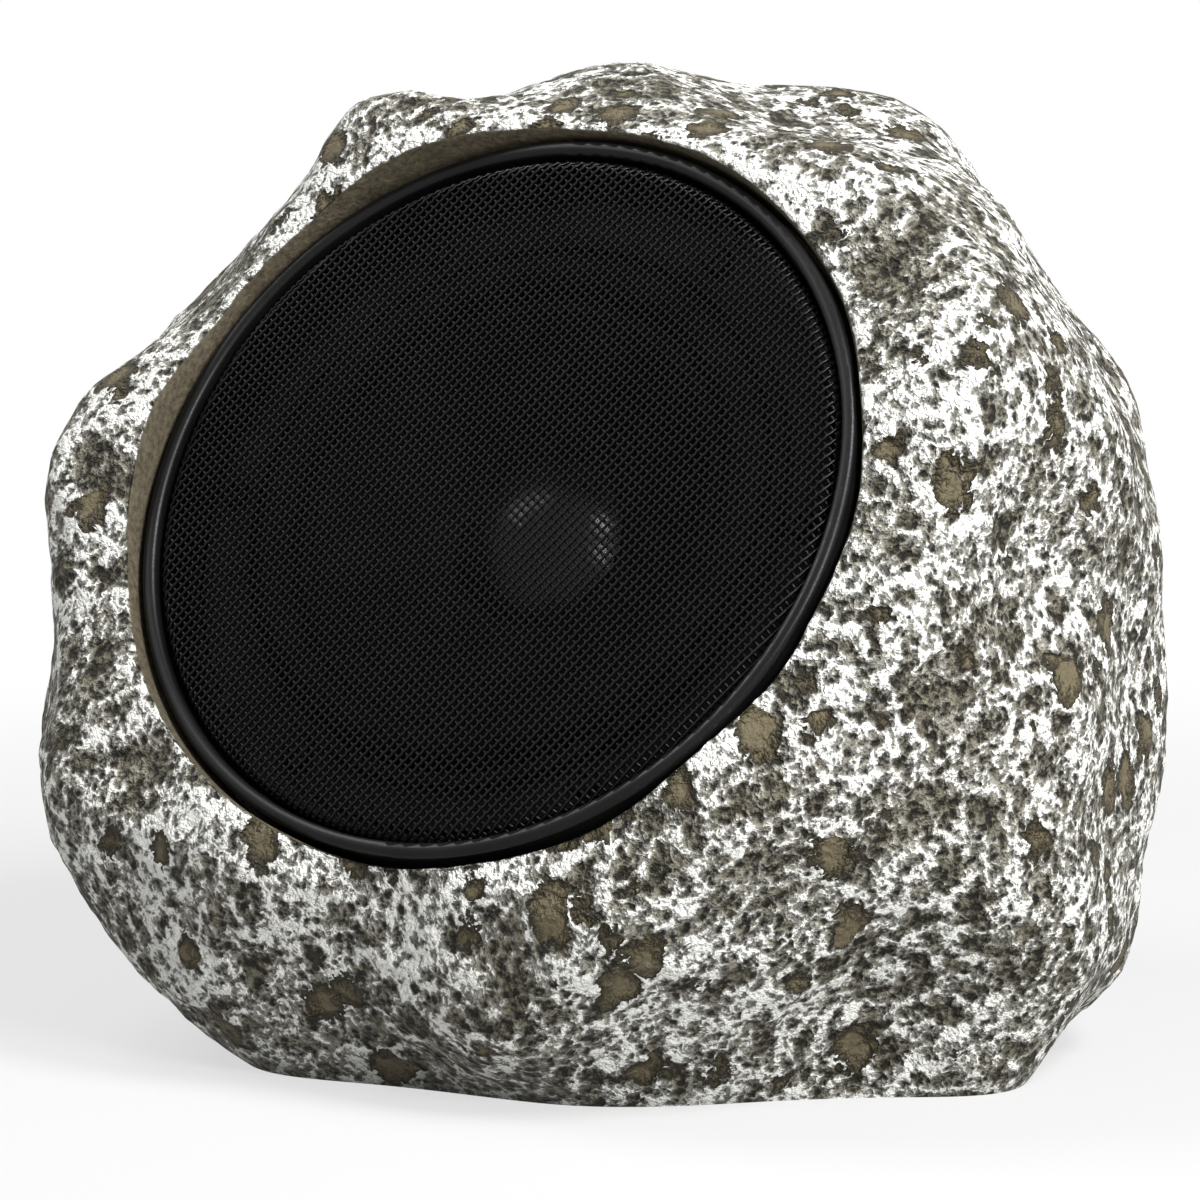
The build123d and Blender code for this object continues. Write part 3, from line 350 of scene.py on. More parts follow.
wall_rings = [
    recess_ring(RECESS_RADIUS, np.minimum(lip_height - LIP_ROUNDING, WALL_RING_HEIGHT)),
    recess_ring(RECESS_RADIUS, lip_height - LIP_ROUNDING),
]
rows = np.concatenate([carved, foot_rings, inner, corner_rings, wall_rings])
wall_start = len(rows) - len(wall_rings)
sharp_rows = [*range(SKIN_ROWS - 1, SKIN_ROWS + len(foot_rings))]
sharp_rows += [*range(wall_start - len(corner_rings), wall_start)]

# Flat seat for the cable gland, sunk into the back: rows near its edge are drawn onto the circle
GLAND_HEIGHT = 36.0
GLAND_SEAT_Y = 99.245
GLAND_SPOT_RADIUS = 15.0
SNAP = 1.4
EDGE = 0.01
offset = rows[..., [0, 2]] - np.array([0.0, GLAND_HEIGHT])
reach = np.linalg.norm(offset, axis=-1)
behind = (np.arange(len(rows))[:, None] < SKIN_ROWS) & (rows[..., 1] > GLAND_SEAT_Y)
in_seat = behind & (reach < GLAND_SPOT_RADIUS)
snapped = np.where(in_seat, GLAND_SPOT_RADIUS - EDGE, GLAND_SPOT_RADIUS + EDGE)
near_edge = behind & (np.abs(reach - GLAND_SPOT_RADIUS) < SNAP)
scale = np.where(near_edge, snapped / np.maximum(reach, EDGE), 1.0)
rows[..., 0] = offset[..., 0] * scale
rows[..., 2] = np.where(behind, GLAND_HEIGHT + offset[..., 1] * scale, rows[..., 2])
rows[..., 1] = np.where(in_seat, GLAND_SEAT_Y, rows[..., 1])
rows = np.clip(rows, np.array(cad_low) / MM, np.array(cad_high) / MM)


def on_skin(values, elsewhere):
    """A value for each point of the skin's rows, and one value for all the other rows."""
    rest = np.full((len(rows) - SKIN_ROWS, ROUND_STEPS), elsewhere)
    return np.concatenate([values, rest]).ravel()


def grid_faces(row_count, round_count):
    """Four cornered faces of a grid that closes on itself both ways, numbered row by row."""
    row, step = np.meshgrid(np.arange(row_count), np.arange(round_count), indexing="ij")
    next_row, next_step = (row + 1) % row_count, (step + 1) % round_count
    corners = [row * round_count + step, next_row * round_count + step]
    corners += [next_row * round_count + next_step, row * round_count + next_step]
    return np.stack(corners, -1).reshape(-1, 4)


def new_piece(name, points, faces, finish):
    """Smooth mesh object at the origin from points in millimetres and faces of four corners."""
    mesh = bpy.data.meshes.new(name)
    mesh.vertices.add(len(points))
    mesh.vertices.foreach_set("co", (points * MM).astype(np.float32).ravel())
    mesh.loops.add(faces.size)
    mesh.loops.foreach_set("vertex_index", faces.astype(np.int32).ravel())
    mesh.polygons.add(len(faces))
    mesh.polygons.foreach_set("loop_start", np.arange(0, faces.size, 4, dtype=np.int32))
    mesh.polygons.foreach_set("use_smooth", np.ones(len(faces), bool))
    mesh.update(calc_edges=True)
    mesh.materials.append(finish)
    piece = bpy.data.objects.new(name, mesh)
    bpy.context.scene.collection.objects.link(piece)
    return piece


class Signal:
    """A shader socket that takes part in sums: each operator adds a Math node to the socket's tree."""

    def __init__(self, tree, socket=None):
        self.tree = tree
        self.socket = socket

    def node(self, kind, settings, inputs, output=0):
        """New node of a kind: its settings first, then its inputs by identifier, as links or plain values."""
        made = self.tree.nodes.new(kind)
        for name, value in settings.items():
            setattr(made, name, value)
        for socket in made.inputs:
            value = inputs.get(socket.identifier)
            if isinstance(value, Signal):
                self.tree.links.new(value.socket, socket)
            elif value is not None:
                socket.default_value = value
        return Signal(self.tree, made.outputs[output] if made.outputs else None)

    def math(self, operation, first, second):
        """Math node on two values."""
        return self.node("ShaderNodeMath", {"operation": operation}, {"Value": first, "Value_001": second})

    def __add__(self, other):
        return self.math("ADD", self, other)

    __radd__ = __add__

    def __sub__(self, other):
        return self.math("SUBTRACT", self, other)

    def __rsub__(self, other):
        return self.math("SUBTRACT", other, self)

    def __mul__(self, other):
        return self.math("MULTIPLY", self, other)

    __rmul__ = __mul__

    def eased(self, low, high):
        """Smooth step from 0 at low to 1 at high."""
        inputs = {"Value": self, "From Min": low, "From Max": high}
        return self.node("ShaderNodeMapRange", {"interpolation_type": "SMOOTHSTEP"}, inputs)

    def tint(self, low, high):
        """Colour from low where the value is 0 to high where it is 1."""
        settings = {"data_type": "RGBA", "clamp_factor": True}
        inputs = {"Factor_Float": self, "A_Color": low, "B_Color": high}
        return self.node("ShaderNodeMix", settings, inputs, 2)

    def wave(self, pitch):
        """Sine of the value, from -1 to 1, once in each pitch."""
        return self.math("SINE", self * (2 * math.pi / pitch), 0.0)

    def vector(self, operation, first, second, output=0):
        """Vector Math on two vectors, or on a vector and a number for a scale."""
        other = "Scale" if operation == "SCALE" else "Vector_001"
        inputs = {"Vector": first, other: second}
        return self.node("ShaderNodeVectorMath", {"operation": operation}, inputs, output)

    def noise(self, place, size, detail=2.0, roughness=0.5, output=0):
        """Cloudy field from 0 to 1 with features of a size, in the units of the place."""
        inputs = {"Vector": place, "Scale": 1 / size, "Detail": detail, "Roughness": roughness}
        return self.node("ShaderNodeTexNoise", {}, inputs, output)

    def crests(self, place, size, detail, roughness):
        """Sharp crests that branch, the largest of a size: each octave is one less the field's height,
        squared, and adds to the crests of the octave before. From about 0.4 in the hollows to 2.2."""
        settings = {"noise_type": "RIDGED_MULTIFRACTAL", "normalize": False}
        inputs = {"Vector": place, "Scale": 1 / size, "Detail": detail, "Roughness": roughness}
        return self.node("ShaderNodeTexNoise", settings, {**inputs, "Offset": 1.0, "Gain": 2.0})

    def cells(self, place, size):
        """Distance from the nearest of points scattered one to a size, and that point's own random number."""
        far = self.node("ShaderNodeTexVoronoi", {}, {"Vector": place, "Scale": 1 / size})
        return far, Signal(self.tree, far.socket.node.outputs["Color"])

    def background_rays(self):
        """1 for a ray that shows the background: from the camera, off a gloss or through glass."""
        camera = self.node("ShaderNodeLightPath", {}, {}, 0)
        outputs = camera.socket.node.outputs
        gloss = Signal(self.tree, outputs["Is Glossy Ray"])
        glass = Signal(self.tree, outputs["Is Transmission Ray"])
        return self.math("MAXIMUM", camera, self.math("MAXIMUM", gloss, glass))

    def stored(self, name):
        """A value stored on the mesh's points under a name."""
        return self.node("ShaderNodeAttribute", {"attribute_name": name}, {}, 2)


def start_finish(name):
    """New material: the material, its tree as a signal, and its object coordinates in millimetres."""
    material = bpy.data.materials.new(name)
    material.use_nodes = True
    material.node_tree.nodes.clear()
    tree = Signal(material.node_tree)
    place = tree.node("ShaderNodeTexCoord", {}, {}, 3)
    return material, tree, tree.vector("SCALE", place, 1 / MM)


def end_finish(tree, surface, relief, depth):
    """Closes a material: a principled surface with a relief of a depth in millimetres as its bump."""
    bump = tree.node("ShaderNodeBump", {}, {"Height": relief, "Distance": depth * MM})
    shader = tree.node("ShaderNodeBsdfPrincipled", {}, {**surface, "Normal": bump})
    tree.node("ShaderNodeOutputMaterial", {}, {"Surface": shader})


def rock_finish():
    """Olive brown stain under dry brushed cream. The height of the surface is crests that branch, less round
    pits, plus a fine grain, and paint lies where that height and the paint's own thickness come above zero.
    Some cells of a coarser scatter are dents, left bare. The recess and the inside are stained resin."""
    deep_stain_and_shade = (0.012, 0.011, 0.008, 1)
    stain = (0.170, 0.155, 0.115, 1)
    olive = (0.110, 0.092, 0.056, 1)
    resin = (0.110, 0.092, 0.062, 1)
    cream = (0.76, 0.76, 0.72, 1)
    sway_size, sway_reach = 3.0, 3.2
    crest_size, crest_middle = 9.0, 1.5
    grain_size = 1.5
    pit_size = 2.6
    dent_size, dent_radius, dent_stretch = 11.0, 0.6, (1.0, 1.0, 0.72)
    relief_depth = 1.6
    material, tree, place = start_finish("dry_brushed_rock")

    # Surface: places are swayed by a cloudy field, so that no pit or crest is smooth
    sway = tree.vector("SUBTRACT", tree.noise(place, sway_size, 2.0, 0.6, 1), (0.5, 0.5, 0.5))
    swayed = tree.vector("ADD", place, tree.vector("SCALE", sway, sway_reach))
    crest = tree.crests(swayed, crest_size, 3.0, 0.75) - crest_middle
    grain = tree.noise(place, grain_size, 2.0, 0.65) - 0.5
    pit_far, _ = tree.cells(swayed, pit_size)
    pits = pit_far.eased(0.75, 0.2)
    height = crest * 0.6 - pits * 0.35 + grain * 1.1

    # Dents: cells with a high random number, ragged where crests cut in. The bowl is above zero inside
    dent_far, dent_pick = tree.cells(tree.vector("MULTIPLY", swayed, dent_stretch), dent_size)
    bowl = dent_pick.eased(0.45, 0.85) * dent_radius - dent_far - crest * 0.16 + grain * 0.3
    dents = bowl.eased(0.0, 0.06)

    # Paint: a thin wash from lower down, and a full cover on the heights, all on the outer skin only
    outside = tree.stored("wall").eased(0.6, 0.3)
    over = height + tree.stored("thick") - dents * 0.9 - 0.05
    wash, cover = over.eased(-0.55, 0.2), over.eased(-0.04, 0.14)
    paint = (wash * 0.3 + cover * 0.7) * outside

    # Ground under the paint: stain that is darkest in the pits, partly real stain settled there and partly
    # painted shade; olive in the dents, darkening to near black at their rims as painted shade; and plain
    # resin elsewhere
    # The stain is darkest in the pits: partly real stain that settles there, partly painted shade.
    tone = (crest * 0.19 - pits * 0.5 + grain * 2.2 + 0.15).eased(-0.55, 0.45)
    stained = tone.tint(deep_stain_and_shade, stain)
    # Dent floors are olive and darken to near black at their rims: the dark rims are painted shade.
    dent_floor_and_rim_shade = bowl.eased(0.0, 0.25).tint(deep_stain_and_shade, olive)
    plain = (grain * 1.5 + 0.6).tint(deep_stain_and_shade, resin)
    ground = outside.tint(plain, dents.tint(stained, dent_floor_and_rim_shade))
    surface = {
        "Base Color": paint.tint(ground, cream),
        "Roughness": 0.55 + paint * 0.25,
        "Specular IOR Level": 0.12,
    }
    relief = height * (1 - dents * 0.6) - bowl.eased(0.0, 0.35) * 2.0
    end_finish(tree, surface, relief * (0.1 + outside * 0.9), relief_depth)
    return material


rock = new_piece("rock", rows.reshape(-1, 3), grid_faces(len(rows), ROUND_STEPS), rock_finish())
for name, values in (("thick", on_skin(thick, 0.0)), ("wall", on_skin(np.zeros_like(thick), 1.0))):
    stored = rock.data.attributes.new(name, "FLOAT", "POINT")
    stored.data.foreach_set("value", values.astype(np.float32))
ends = np.zeros(2 * len(rock.data.edges), np.int32)
rock.data.edges.foreach_get("vertices", ends)
edge_rows = ends.reshape(-1, 2) // ROUND_STEPS
crease = (edge_rows[:, 0] == edge_rows[:, 1]) & np.isin(edge_rows[:, 0], sharp_rows)
rock.data.attributes.new("sharp_edge", "BOOLEAN", "EDGE").data.foreach_set("value", crease)
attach(rock, "enclosure")
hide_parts("rock_shell")


# Base: a black moulded plate with ribs, let into the rock's foot on a foam seal, and held by eight
# plated screws in brass inserts that are glued into the casting.
def moulded_finish(name, dark, light, roughness, grain, depth, gloss=0.5):
    """Moulded, painted, rubber or foam surface: two close tones in soft clouds, and an even grain."""
    cloud_size = 16.0
    material, tree, place = start_finish(name)
    clouds = tree.noise(place, cloud_size, 3.0)
    pebbles = tree.noise(place, grain, 2.0, 0.6)
    tone = (clouds * 0.6 + pebbles * 0.4).eased(0.3, 0.7)
    surface = {
        "Base Color": tone.tint(dark, light),
        "Roughness": roughness + (pebbles - 0.5) * 0.3,
        "Specular IOR Level": gloss,
    }
    end_finish(tree, surface, pebbles, depth)
    return material


def metal_finish(name, dark, light, roughness, grain):
    """Plated or drawn metal: patches of two tones the size of a grain, and fine scratches along X."""
    scratch_stretch, scratch_depth = (0.3, 6.0, 6.0), 0.03
    material, tree, place = start_finish(name)
    _, patches = tree.cells(place, grain)
    drawn = tree.noise(tree.vector("MULTIPLY", place, scratch_stretch), 1.0, 2.0)
    surface = {
        "Base Color": (patches * 0.7 + drawn * 0.3).tint(dark, light),
        "Metallic": 1.0,
        "Roughness": roughness + (drawn - 0.5) * 0.25,
    }
    end_finish(tree, surface, drawn, scratch_depth)
    return material


def dress(finish, *names):
    """Gives CAD nodes a finish in place of the plain one that they carry in model.glb."""
    for name in names:
        mesh = frame["nodes"][name].data
        mesh.materials.clear()
        mesh.materials.append(finish)


base_plastic = moulded_finish(
    "base_plastic", (0.012, 0.012, 0.013, 1), (0.026, 0.026, 0.027, 1), roughness=0.5, grain=0.5, depth=0.08
)
foam = moulded_finish(
    "black_foam", (0.010, 0.010, 0.010, 1), (0.045, 0.044, 0.042, 1), roughness=0.9, grain=0.7, depth=0.35
)
brass = metal_finish(
    "turned_brass", (0.55, 0.36, 0.12, 1), (0.80, 0.57, 0.24, 1), roughness=0.30, grain=1.1
)
plated_steel = metal_finish(
    "zinc_plated_steel", (0.46, 0.46, 0.48, 1), (0.72, 0.71, 0.66, 1), roughness=0.32, grain=1.4
)
dress(base_plastic, "base_plate")
dress(foam, "base_gasket")
dress(brass, "base_inserts")
dress(plated_steel, "base_screws")

# Terminal block: white nylon, screwed to a pad of the base plate, with a brass clamp for each wire. Two
# insulated wires come down to it from the driver.
block_nylon = moulded_finish(
    "block_nylon", (0.62, 0.60, 0.53, 1), (0.74, 0.73, 0.67, 1), roughness=0.42, grain=1.2, depth=0.05
)
lead_red = moulded_finish(
    "red_wire", (0.36, 0.012, 0.010, 1), (0.50, 0.022, 0.016, 1), roughness=0.35, grain=0.9, depth=0.04
)
lead_black = moulded_finish(
    "black_wire", (0.010, 0.010, 0.011, 1), (0.024, 0.024, 0.025, 1), roughness=0.35, grain=0.9, depth=0.04
)
dress(block_nylon, "terminal_block")
dress(brass, "clamp_tubes")
dress(plated_steel, "clamp_screws", "block_screw")
dress(lead_red, "lead_positive")
dress(lead_black, "lead_negative")


# Driver: a full range unit on a black painted steel chassis, screwed to the baffle over a foam ring. Its
# plastic cone, glossy dust cap and voice coil slide along the axis, held by a rubber surround and a
# corrugated cloth spider.
def axis_place(tree, place):
    """Distance from the speaker's axis, height along it from the rock's centre, and the two distances square
    to it."""
    from_centre = tree.vector("SUBTRACT", place, tuple(ROCK_CENTRE))
    height = tree.vector("DOT_PRODUCT", from_centre, tuple(AXIS), 1)
    across = tree.vector("DOT_PRODUCT", from_centre, tuple(ACROSS), 1)
    along = tree.vector("DOT_PRODUCT", from_centre, tuple(ALONG), 1)
    radius = tree.math("SQRT", across * across + along * along, 0.0)
    return radius, height, across, along


def turned_finish(name, dark, light, roughness, pitch, depth, metallic=0.0, upright=False, gloss=0.5):
    """Ringed surface: waves of a pitch out from the speaker's axis, or upright along it, over soft clouds."""
    cloud_size, dust_size = 9.0, 0.8
    material, tree, place = start_finish(name)
    radius, height, _, _ = axis_place(tree, place)
    rings = (height if upright else radius).wave(pitch)
    clouds = tree.noise(place, cloud_size, 3.0)
    dust = tree.noise(place, dust_size, 2.0)
    surface = {
        "Base Color": (clouds * 0.6 + dust * 0.4).eased(0.3, 0.7).tint(dark, light),
        "Metallic": metallic,
        "Roughness": roughness + (dust - 0.5) * 0.2 + (clouds - 0.5) * 0.15,
        "Specular IOR Level": gloss,
    }
    end_finish(tree, surface, rings * 0.5 + dust * 0.2, depth)
    return material


def cloth_finish(name, dark, light, pitch, depth):
    """Plain woven cloth: two sets of threads of a pitch across each other, square to the speaker's axis."""
    fuzz_size = 0.5
    material, tree, place = start_finish(name)
    _, _, across, along = axis_place(tree, place)
    weave = across.wave(2 * pitch) * along.wave(2 * pitch)
    fuzz = tree.noise(place, fuzz_size, 2.0)
    surface = {"Base Color": (weave * 0.4 + fuzz).tint(dark, light), "Roughness": 0.75 + fuzz * 0.2}
    end_finish(tree, surface, weave * 0.5 + fuzz * 0.4, depth)
    return material


chassis_steel = moulded_finish(
    "black_steel", (0.003, 0.003, 0.003, 1), (0.008, 0.008, 0.008, 1),
    roughness=0.5, grain=0.4, depth=0.03, gloss=0.08,
)
ferrite = moulded_finish(
    "ferrite", (0.022, 0.022, 0.024, 1), (0.060, 0.060, 0.064, 1), roughness=0.55, grain=0.6, depth=0.06
)
cone_plastic = turned_finish(
    "cone_plastic", (0.002, 0.002, 0.002, 1), (0.005, 0.005, 0.005, 1),
    roughness=0.55, pitch=1.5, depth=0.10, gloss=0.08,
)
cap_plastic = turned_finish(
    "cap_plastic", (0.006, 0.006, 0.007, 1), (0.010, 0.010, 0.011, 1), roughness=0.24, pitch=40.0, depth=0.02
)
former_foil = turned_finish(
    "former_foil", (0.56, 0.56, 0.58, 1), (0.72, 0.72, 0.74, 1),
    roughness=0.30, pitch=0.9, depth=0.01, metallic=1.0, upright=True,
)
copper = turned_finish(
    "copper_wire", (0.58, 0.21, 0.09, 1), (0.86, 0.42, 0.24, 1),
    roughness=0.28, pitch=0.32, depth=0.10, metallic=1.0, upright=True,
)
rubber = turned_finish(
    "rubber", (0.002, 0.002, 0.002, 1), (0.006, 0.006, 0.006, 1),
    roughness=0.65, pitch=1.1, depth=0.03, gloss=0.08,
)
spider_cloth = cloth_finish(
    "spider_cloth", (0.30, 0.17, 0.05, 1), (0.56, 0.38, 0.16, 1), pitch=0.5, depth=0.12
)
board = moulded_finish(
    "laminate_board", (0.09, 0.045, 0.02, 1), (0.17, 0.09, 0.04, 1), roughness=0.5, grain=0.8, depth=0.04
)
dress(foam, "driver_gasket")
dress(brass, "driver_inserts")
dress(chassis_steel, "driver_basket", "driver_screws")
dress(plated_steel, "top_plate", "pole_yoke", "terminal_tabs")
dress(ferrite, "magnet")
dress(cone_plastic, "speaker_cone")
dress(cap_plastic, "dust_cap")
dress(former_foil, "coil_former")
dress(copper, "coil_winding")
dress(rubber, "cone_surround", "trim_gasket")
dress(spider_cloth, "spider")
dress(board, "terminal_board")

# Flexible leads: two braids of copper tinsel, soldered to the blades on the board and glued to the back of
# the cone. They bow between the two, so that the cone can carry their upper ends along.
LEAD_SPACING = 12.0
LEAD_RADIUS = 0.6
# Ends and bow of a lead: along the recess floor, and above it
LEAD_FOOT = np.array([-54.6, -25.4])
LEAD_HEAD = np.array([-40.0, -6.45])
LEAD_BOW = np.array([-3.0, 3.0])
BRAID_STRANDS = 3
BRAID_LAY = 5.0
BRAID_GROOVE = 0.12
LEAD_STEPS, LEAD_CORNERS = 96, 12


def on_axes(across, along, height):
    """Points from distances across and along the recess floor, and heights above it on the speaker's axis."""
    level = across[..., None] * ACROSS + along[..., None] * ALONG
    return ROCK_CENTRE + level + (SEAT_OFFSET + height)[..., None] * AXIS


def flexible_lead(side):
    """Round section carried along a parabola from board to cone. Its strands are a cosine of the angle, which
    turns once round in each lay."""
    share = np.linspace(0, 1, LEAD_STEPS)[:, None]
    line = LEAD_FOOT + share * (LEAD_HEAD - LEAD_FOOT) + 4 * share * (1 - share) * LEAD_BOW
    step = np.gradient(line, axis=0)
    length = np.linalg.norm(step, axis=1, keepdims=True)
    way = step / length
    turn = np.linspace(0, 2 * math.pi, LEAD_CORNERS, endpoint=False)
    strands = np.cos(BRAID_STRANDS * (turn - 2 * math.pi * np.cumsum(length)[:, None] / BRAID_LAY))
    radius = LEAD_RADIUS * (1 - BRAID_GROOVE * (1 - strands))
    across = side * LEAD_SPACING / 2 + radius * np.cos(turn)
    along = line[:, :1] + radius * np.sin(turn) * way[:, 1:]
    height = line[:, 1:] - radius * np.sin(turn) * way[:, :1]
    return on_axes(across, along, height).reshape(-1, 3)


def tube_faces(steps, corners):
    """Four cornered faces of a tube numbered ring by ring, with a strip of faces across each end."""
    number = np.arange(steps * corners).reshape(steps, corners)
    ahead = np.roll(number, -1, 1)
    walls = np.stack([number[:-1], ahead[:-1], ahead[1:], number[1:]], -1).reshape(-1, 4)
    half = np.arange(corners // 2 - 1)
    strip = np.stack([half, half + 1, corners - 2 - half, corners - 1 - half], -1)
    return np.concatenate([walls, strip[:, ::-1], strip + number[-1, 0]])


lead_points = np.concatenate([flexible_lead(-1), flexible_lead(1)])
lead_faces = tube_faces(LEAD_STEPS, LEAD_CORNERS)
lead_faces = np.concatenate([lead_faces, lead_faces + LEAD_STEPS * LEAD_CORNERS])
leads = new_piece("flexible_leads", lead_points, lead_faces, copper)
lead_ends = on_axes(np.zeros(2), *np.stack([LEAD_FOOT, LEAD_HEAD], 1)) * MM
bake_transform(leads)
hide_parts("tinsel_leads")

# Grille: a disc of fine steel mesh with its edge pressed down into a dish, painted black, and the moulded
# ring that holds it in the recess by six pegs. One set of wires lies on the other, welded at each crossing.
WIRE_PITCH = 1.92
WIRE_RADIUS = 0.43
WIRE_SAG = 0.2
WIRE_CORNERS = 4
MESH_TURN = math.radians(55.0)
MESH_TOP = 15.3
MESH_RADIUS = 90.0
MESH_EDGE_RADIUS = 4.0
MESH_FOOT = 3.0
SHEET_HALF = 2 * WIRE_RADIUS
MESH_FLAT = MESH_RADIUS - MESH_EDGE_RADIUS
BEND_RADIUS = MESH_EDGE_RADIUS - SHEET_HALF
SHEET_TOP = MESH_TOP - SHEET_HALF
SHEET_REACH = MESH_FLAT + BEND_RADIUS * math.pi / 2 + SHEET_TOP - BEND_RADIUS - MESH_FOOT


def dished(across, along, lift):
    """Flat sheet pressed into a dish: a point keeps its angle, and its distance from the middle is laid along
    a flat top, a quarter circle and an upright edge. The lift is out from the sheet."""
    far = np.maximum(np.hypot(across, along), 1e-6)
    bend = np.clip((far - MESH_FLAT) / BEND_RADIUS, 0, math.pi / 2)
    drop = np.maximum(far - MESH_FLAT - BEND_RADIUS * math.pi / 2, 0)
    radius = np.minimum(far, MESH_FLAT) + (BEND_RADIUS + lift) * np.sin(bend)
    height = SHEET_TOP - drop - BEND_RADIUS * (1 - np.cos(bend)) + lift * np.cos(bend)
    turn = np.arctan2(along, across) + MESH_TURN
    return on_axes(radius * np.cos(turn), radius * np.sin(turn), height)


def wires(name, over, crossways):
    """One set of parallel wires, above or below the sheet's middle by a wire's radius at each crossing, and
    pressed in between by a cosine. Each has four corners round it, and follows the dish to its edge."""
    count = int(SHEET_REACH / WIRE_PITCH)
    lines, steps = np.arange(-count, count + 1), np.arange(-2 * count, 2 * count + 1)
    line, step = np.meshgrid(lines, steps, indexing="ij")
    run = step * WIRE_PITCH / 2
    rise = over * (WIRE_RADIUS - WIRE_SAG * (1 - np.cos(math.pi * step)))
    sides = []
    for corner in range(WIRE_CORNERS):
        turn = corner * 2 * math.pi / WIRE_CORNERS
        beside = line * WIRE_PITCH + WIRE_RADIUS * round(math.sin(turn))
        lift = rise + WIRE_RADIUS * round(math.cos(turn))
        sides.append(dished(beside, run, lift) if crossways else dished(run, beside, lift))
    points = np.stack(sides, 2)
    number = np.arange(points[..., 0].size).reshape(points.shape[:3])
    kept = np.hypot(run, line * WIRE_PITCH) < SHEET_REACH
    both = kept[:, :-1] & kept[:, 1:]
    ahead = np.roll(number, -1, 2)
    walls = np.stack([number[:, :-1], number[:, 1:], ahead[:, 1:], ahead[:, :-1]], -1)[both].reshape(-1, 4)
    first = kept & ~np.roll(kept, 1, 1)
    last = kept & ~np.roll(kept, -1, 1)
    faces = np.concatenate([walls, number[first], number[last][:, ::-1]])
    used, faces = np.unique(faces, return_inverse=True)
    faces = faces.reshape(-1, 4)
    if crossways:
        faces = faces[:, ::-1]
    piece = new_piece(name, points.reshape(-1, 3)[used], faces, grille_steel)
    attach(piece, "enclosure")
    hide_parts("grille_mesh")


grille_steel = moulded_finish(
    "black_wire_mesh", (0.001, 0.001, 0.001, 1), (0.003, 0.003, 0.003, 1),
    roughness=0.32, grain=0.5, depth=0.03, gloss=0.15,
)
black_plastic = moulded_finish(
    "black_plastic", (0.003, 0.003, 0.003, 1), (0.006, 0.006, 0.006, 1),
    roughness=0.35, grain=0.4, depth=0.02, gloss=0.15,
)
wires("warp_wires", 1, False)
wires("weft_wires", -1, True)
dress(black_plastic, "grille_ring")

# Cable gland: a black moulded body through the rock's back, with a nut inside, a cap outside that presses
# a rubber seal onto a cable, and a rubber washer under its flange.
dress(black_plastic, "gland_body", "gland_nut", "gland_cap")
dress(rubber, "gland_washer", "gland_seal")

# Studio: a pale floor under a dim sky, and three soft lamps. The camera and glossy surfaces see the sky, and
# the floor away from the shadow, as plain white.
VIEW_AZIMUTH, VIEW_ELEVATION = math.radians(28.4), math.radians(6.9)
CAMERA_DISTANCE = 1100.0
CAMERA_SHIFT = (-6.9, 6.4)
FOCAL_PIXELS = 4343.0
FRAME_PIXELS = 1200.0
SENSOR = 36.0


def view_axes(azimuth, elevation):
    """Right, up and back vectors of a view from an azimuth and an elevation, in radians."""
    right = np.array([math.cos(azimuth), math.sin(azimuth), 0.0])
    back = np.array([math.sin(azimuth), -math.cos(azimuth), 0.0]) * math.cos(elevation)
    back = back + np.array([0.0, 0.0, math.sin(elevation)])
    return right, np.cross(back, right), back


def place_at(thing, side, up, back, spot):
    """Links an object with its local axes along three vectors, at a spot in millimetres."""
    pose = np.eye(4)
    pose[:3, :3] = np.stack([side, up, back], 1)
    pose[:3, 3] = spot * MM
    thing.matrix_world = pose.T
    bpy.context.scene.collection.objects.link(thing)


right, up, back = view_axes(VIEW_AZIMUTH, VIEW_ELEVATION)
camera = bpy.data.objects.new("camera", bpy.data.cameras.new("camera"))
camera.data.sensor_width = SENSOR
camera.data.lens = SENSOR * FOCAL_PIXELS / FRAME_PIXELS
stand = ROCK_CENTRE + right * CAMERA_SHIFT[0] + up * CAMERA_SHIFT[1] + back * CAMERA_DISTANCE
place_at(camera, right, up, back, stand)
bpy.context.scene.camera = camera
bpy.context.scene.view_settings.view_transform = "Standard"


def lamp(name, direction, distance, size, watts):
    """Square soft lamp at a distance from the rock, in a direction of the camera's right, up and back."""
    way = right * direction[0] + up * direction[1] + back * direction[2]
    way = way / np.linalg.norm(way)
    side = np.cross(up, way)
    side = side / np.linalg.norm(side)
    light = bpy.data.lights.new(name, "AREA")
    light.size = size * MM
    light.energy = watts
    place_at(bpy.data.objects.new(name, light), side, np.cross(way, side), way, ROCK_CENTRE + way * distance)


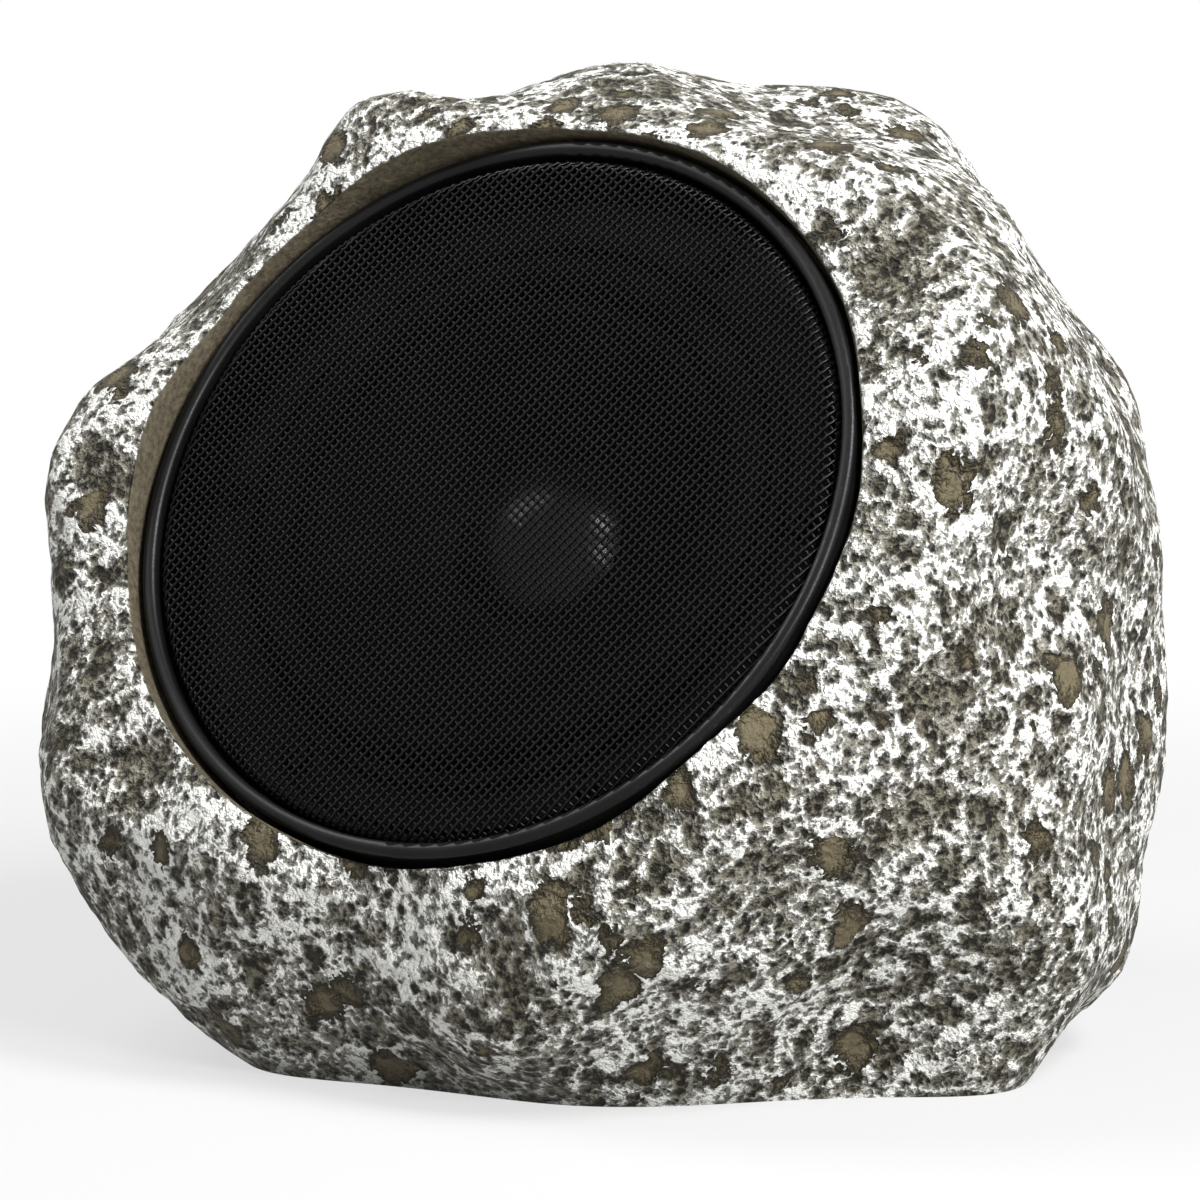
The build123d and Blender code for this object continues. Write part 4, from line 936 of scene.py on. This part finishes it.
lamp("key_lamp", direction=(0.7, 1.0, 0.8), distance=1300.0, size=380.0, watts=20.0)
lamp("fill_lamp", direction=(-0.8, 1.2, 0.0), distance=1400.0, size=800.0, watts=14.0)
lamp("front_lamp", direction=(0.6, 0.35, 1.0), distance=1500.0, size=400.0, watts=17.0)

# Floor and sky: the floor's reach and the ring over which its shadow fades are in metres
FLOOR_REACH = 6.0
SHADOW_REACH = (0.22, 0.7)
SHADOW_WEIGHT = 0.35
SKY_LIGHT = 0.2
FLOOR_GREY = (0.5, 0.5, 0.5, 1)
WHITE = (1, 1, 1, 1)
floor_mesh = bpy.data.meshes.new("floor")
corners = [(-FLOOR_REACH, -FLOOR_REACH, 0), (FLOOR_REACH, -FLOOR_REACH, 0), (FLOOR_REACH, FLOOR_REACH, 0)]
floor_mesh.from_pydata([*corners, (-FLOOR_REACH, FLOOR_REACH, 0)], [], [(0, 1, 2, 3)])
floor = bpy.data.objects.new("floor", floor_mesh)
bpy.context.scene.collection.objects.link(floor)


def floor_finish():
    """Pale matt floor that turns to plain white away from the object's shadow, for the rays that show it."""
    material, tree, place = start_finish("white_floor")
    far = tree.vector("LENGTH", place, (0, 0, 0), 1) * MM
    matt = tree.node("ShaderNodeBsdfDiffuse", {}, {"Color": FLOOR_GREY})
    white = tree.node("ShaderNodeEmission", {}, {"Color": WHITE, "Strength": 1.0})
    share = tree.background_rays() * (1 - SHADOW_WEIGHT * (1 - far.eased(*SHADOW_REACH)))
    mixed = tree.node("ShaderNodeMixShader", {}, {"Fac": share, "Shader": matt, "Shader_001": white})
    tree.node("ShaderNodeOutputMaterial", {}, {"Surface": mixed})
    return material


floor_mesh.materials.append(floor_finish())
world = bpy.data.worlds.new("white_sky")
world.use_nodes = True
world.node_tree.nodes.clear()
sky = Signal(world.node_tree)
dim = sky.node("ShaderNodeBackground", {}, {"Color": WHITE, "Strength": SKY_LIGHT})
white = sky.node("ShaderNodeBackground", {}, {"Color": WHITE, "Strength": 1.0})
share = sky.background_rays()
mixed = sky.node("ShaderNodeMixShader", {}, {"Fac": share, "Shader": dim, "Shader_001": white})
sky.node("ShaderNodeOutputWorld", {}, {"Surface": mixed})
bpy.context.scene.world = world
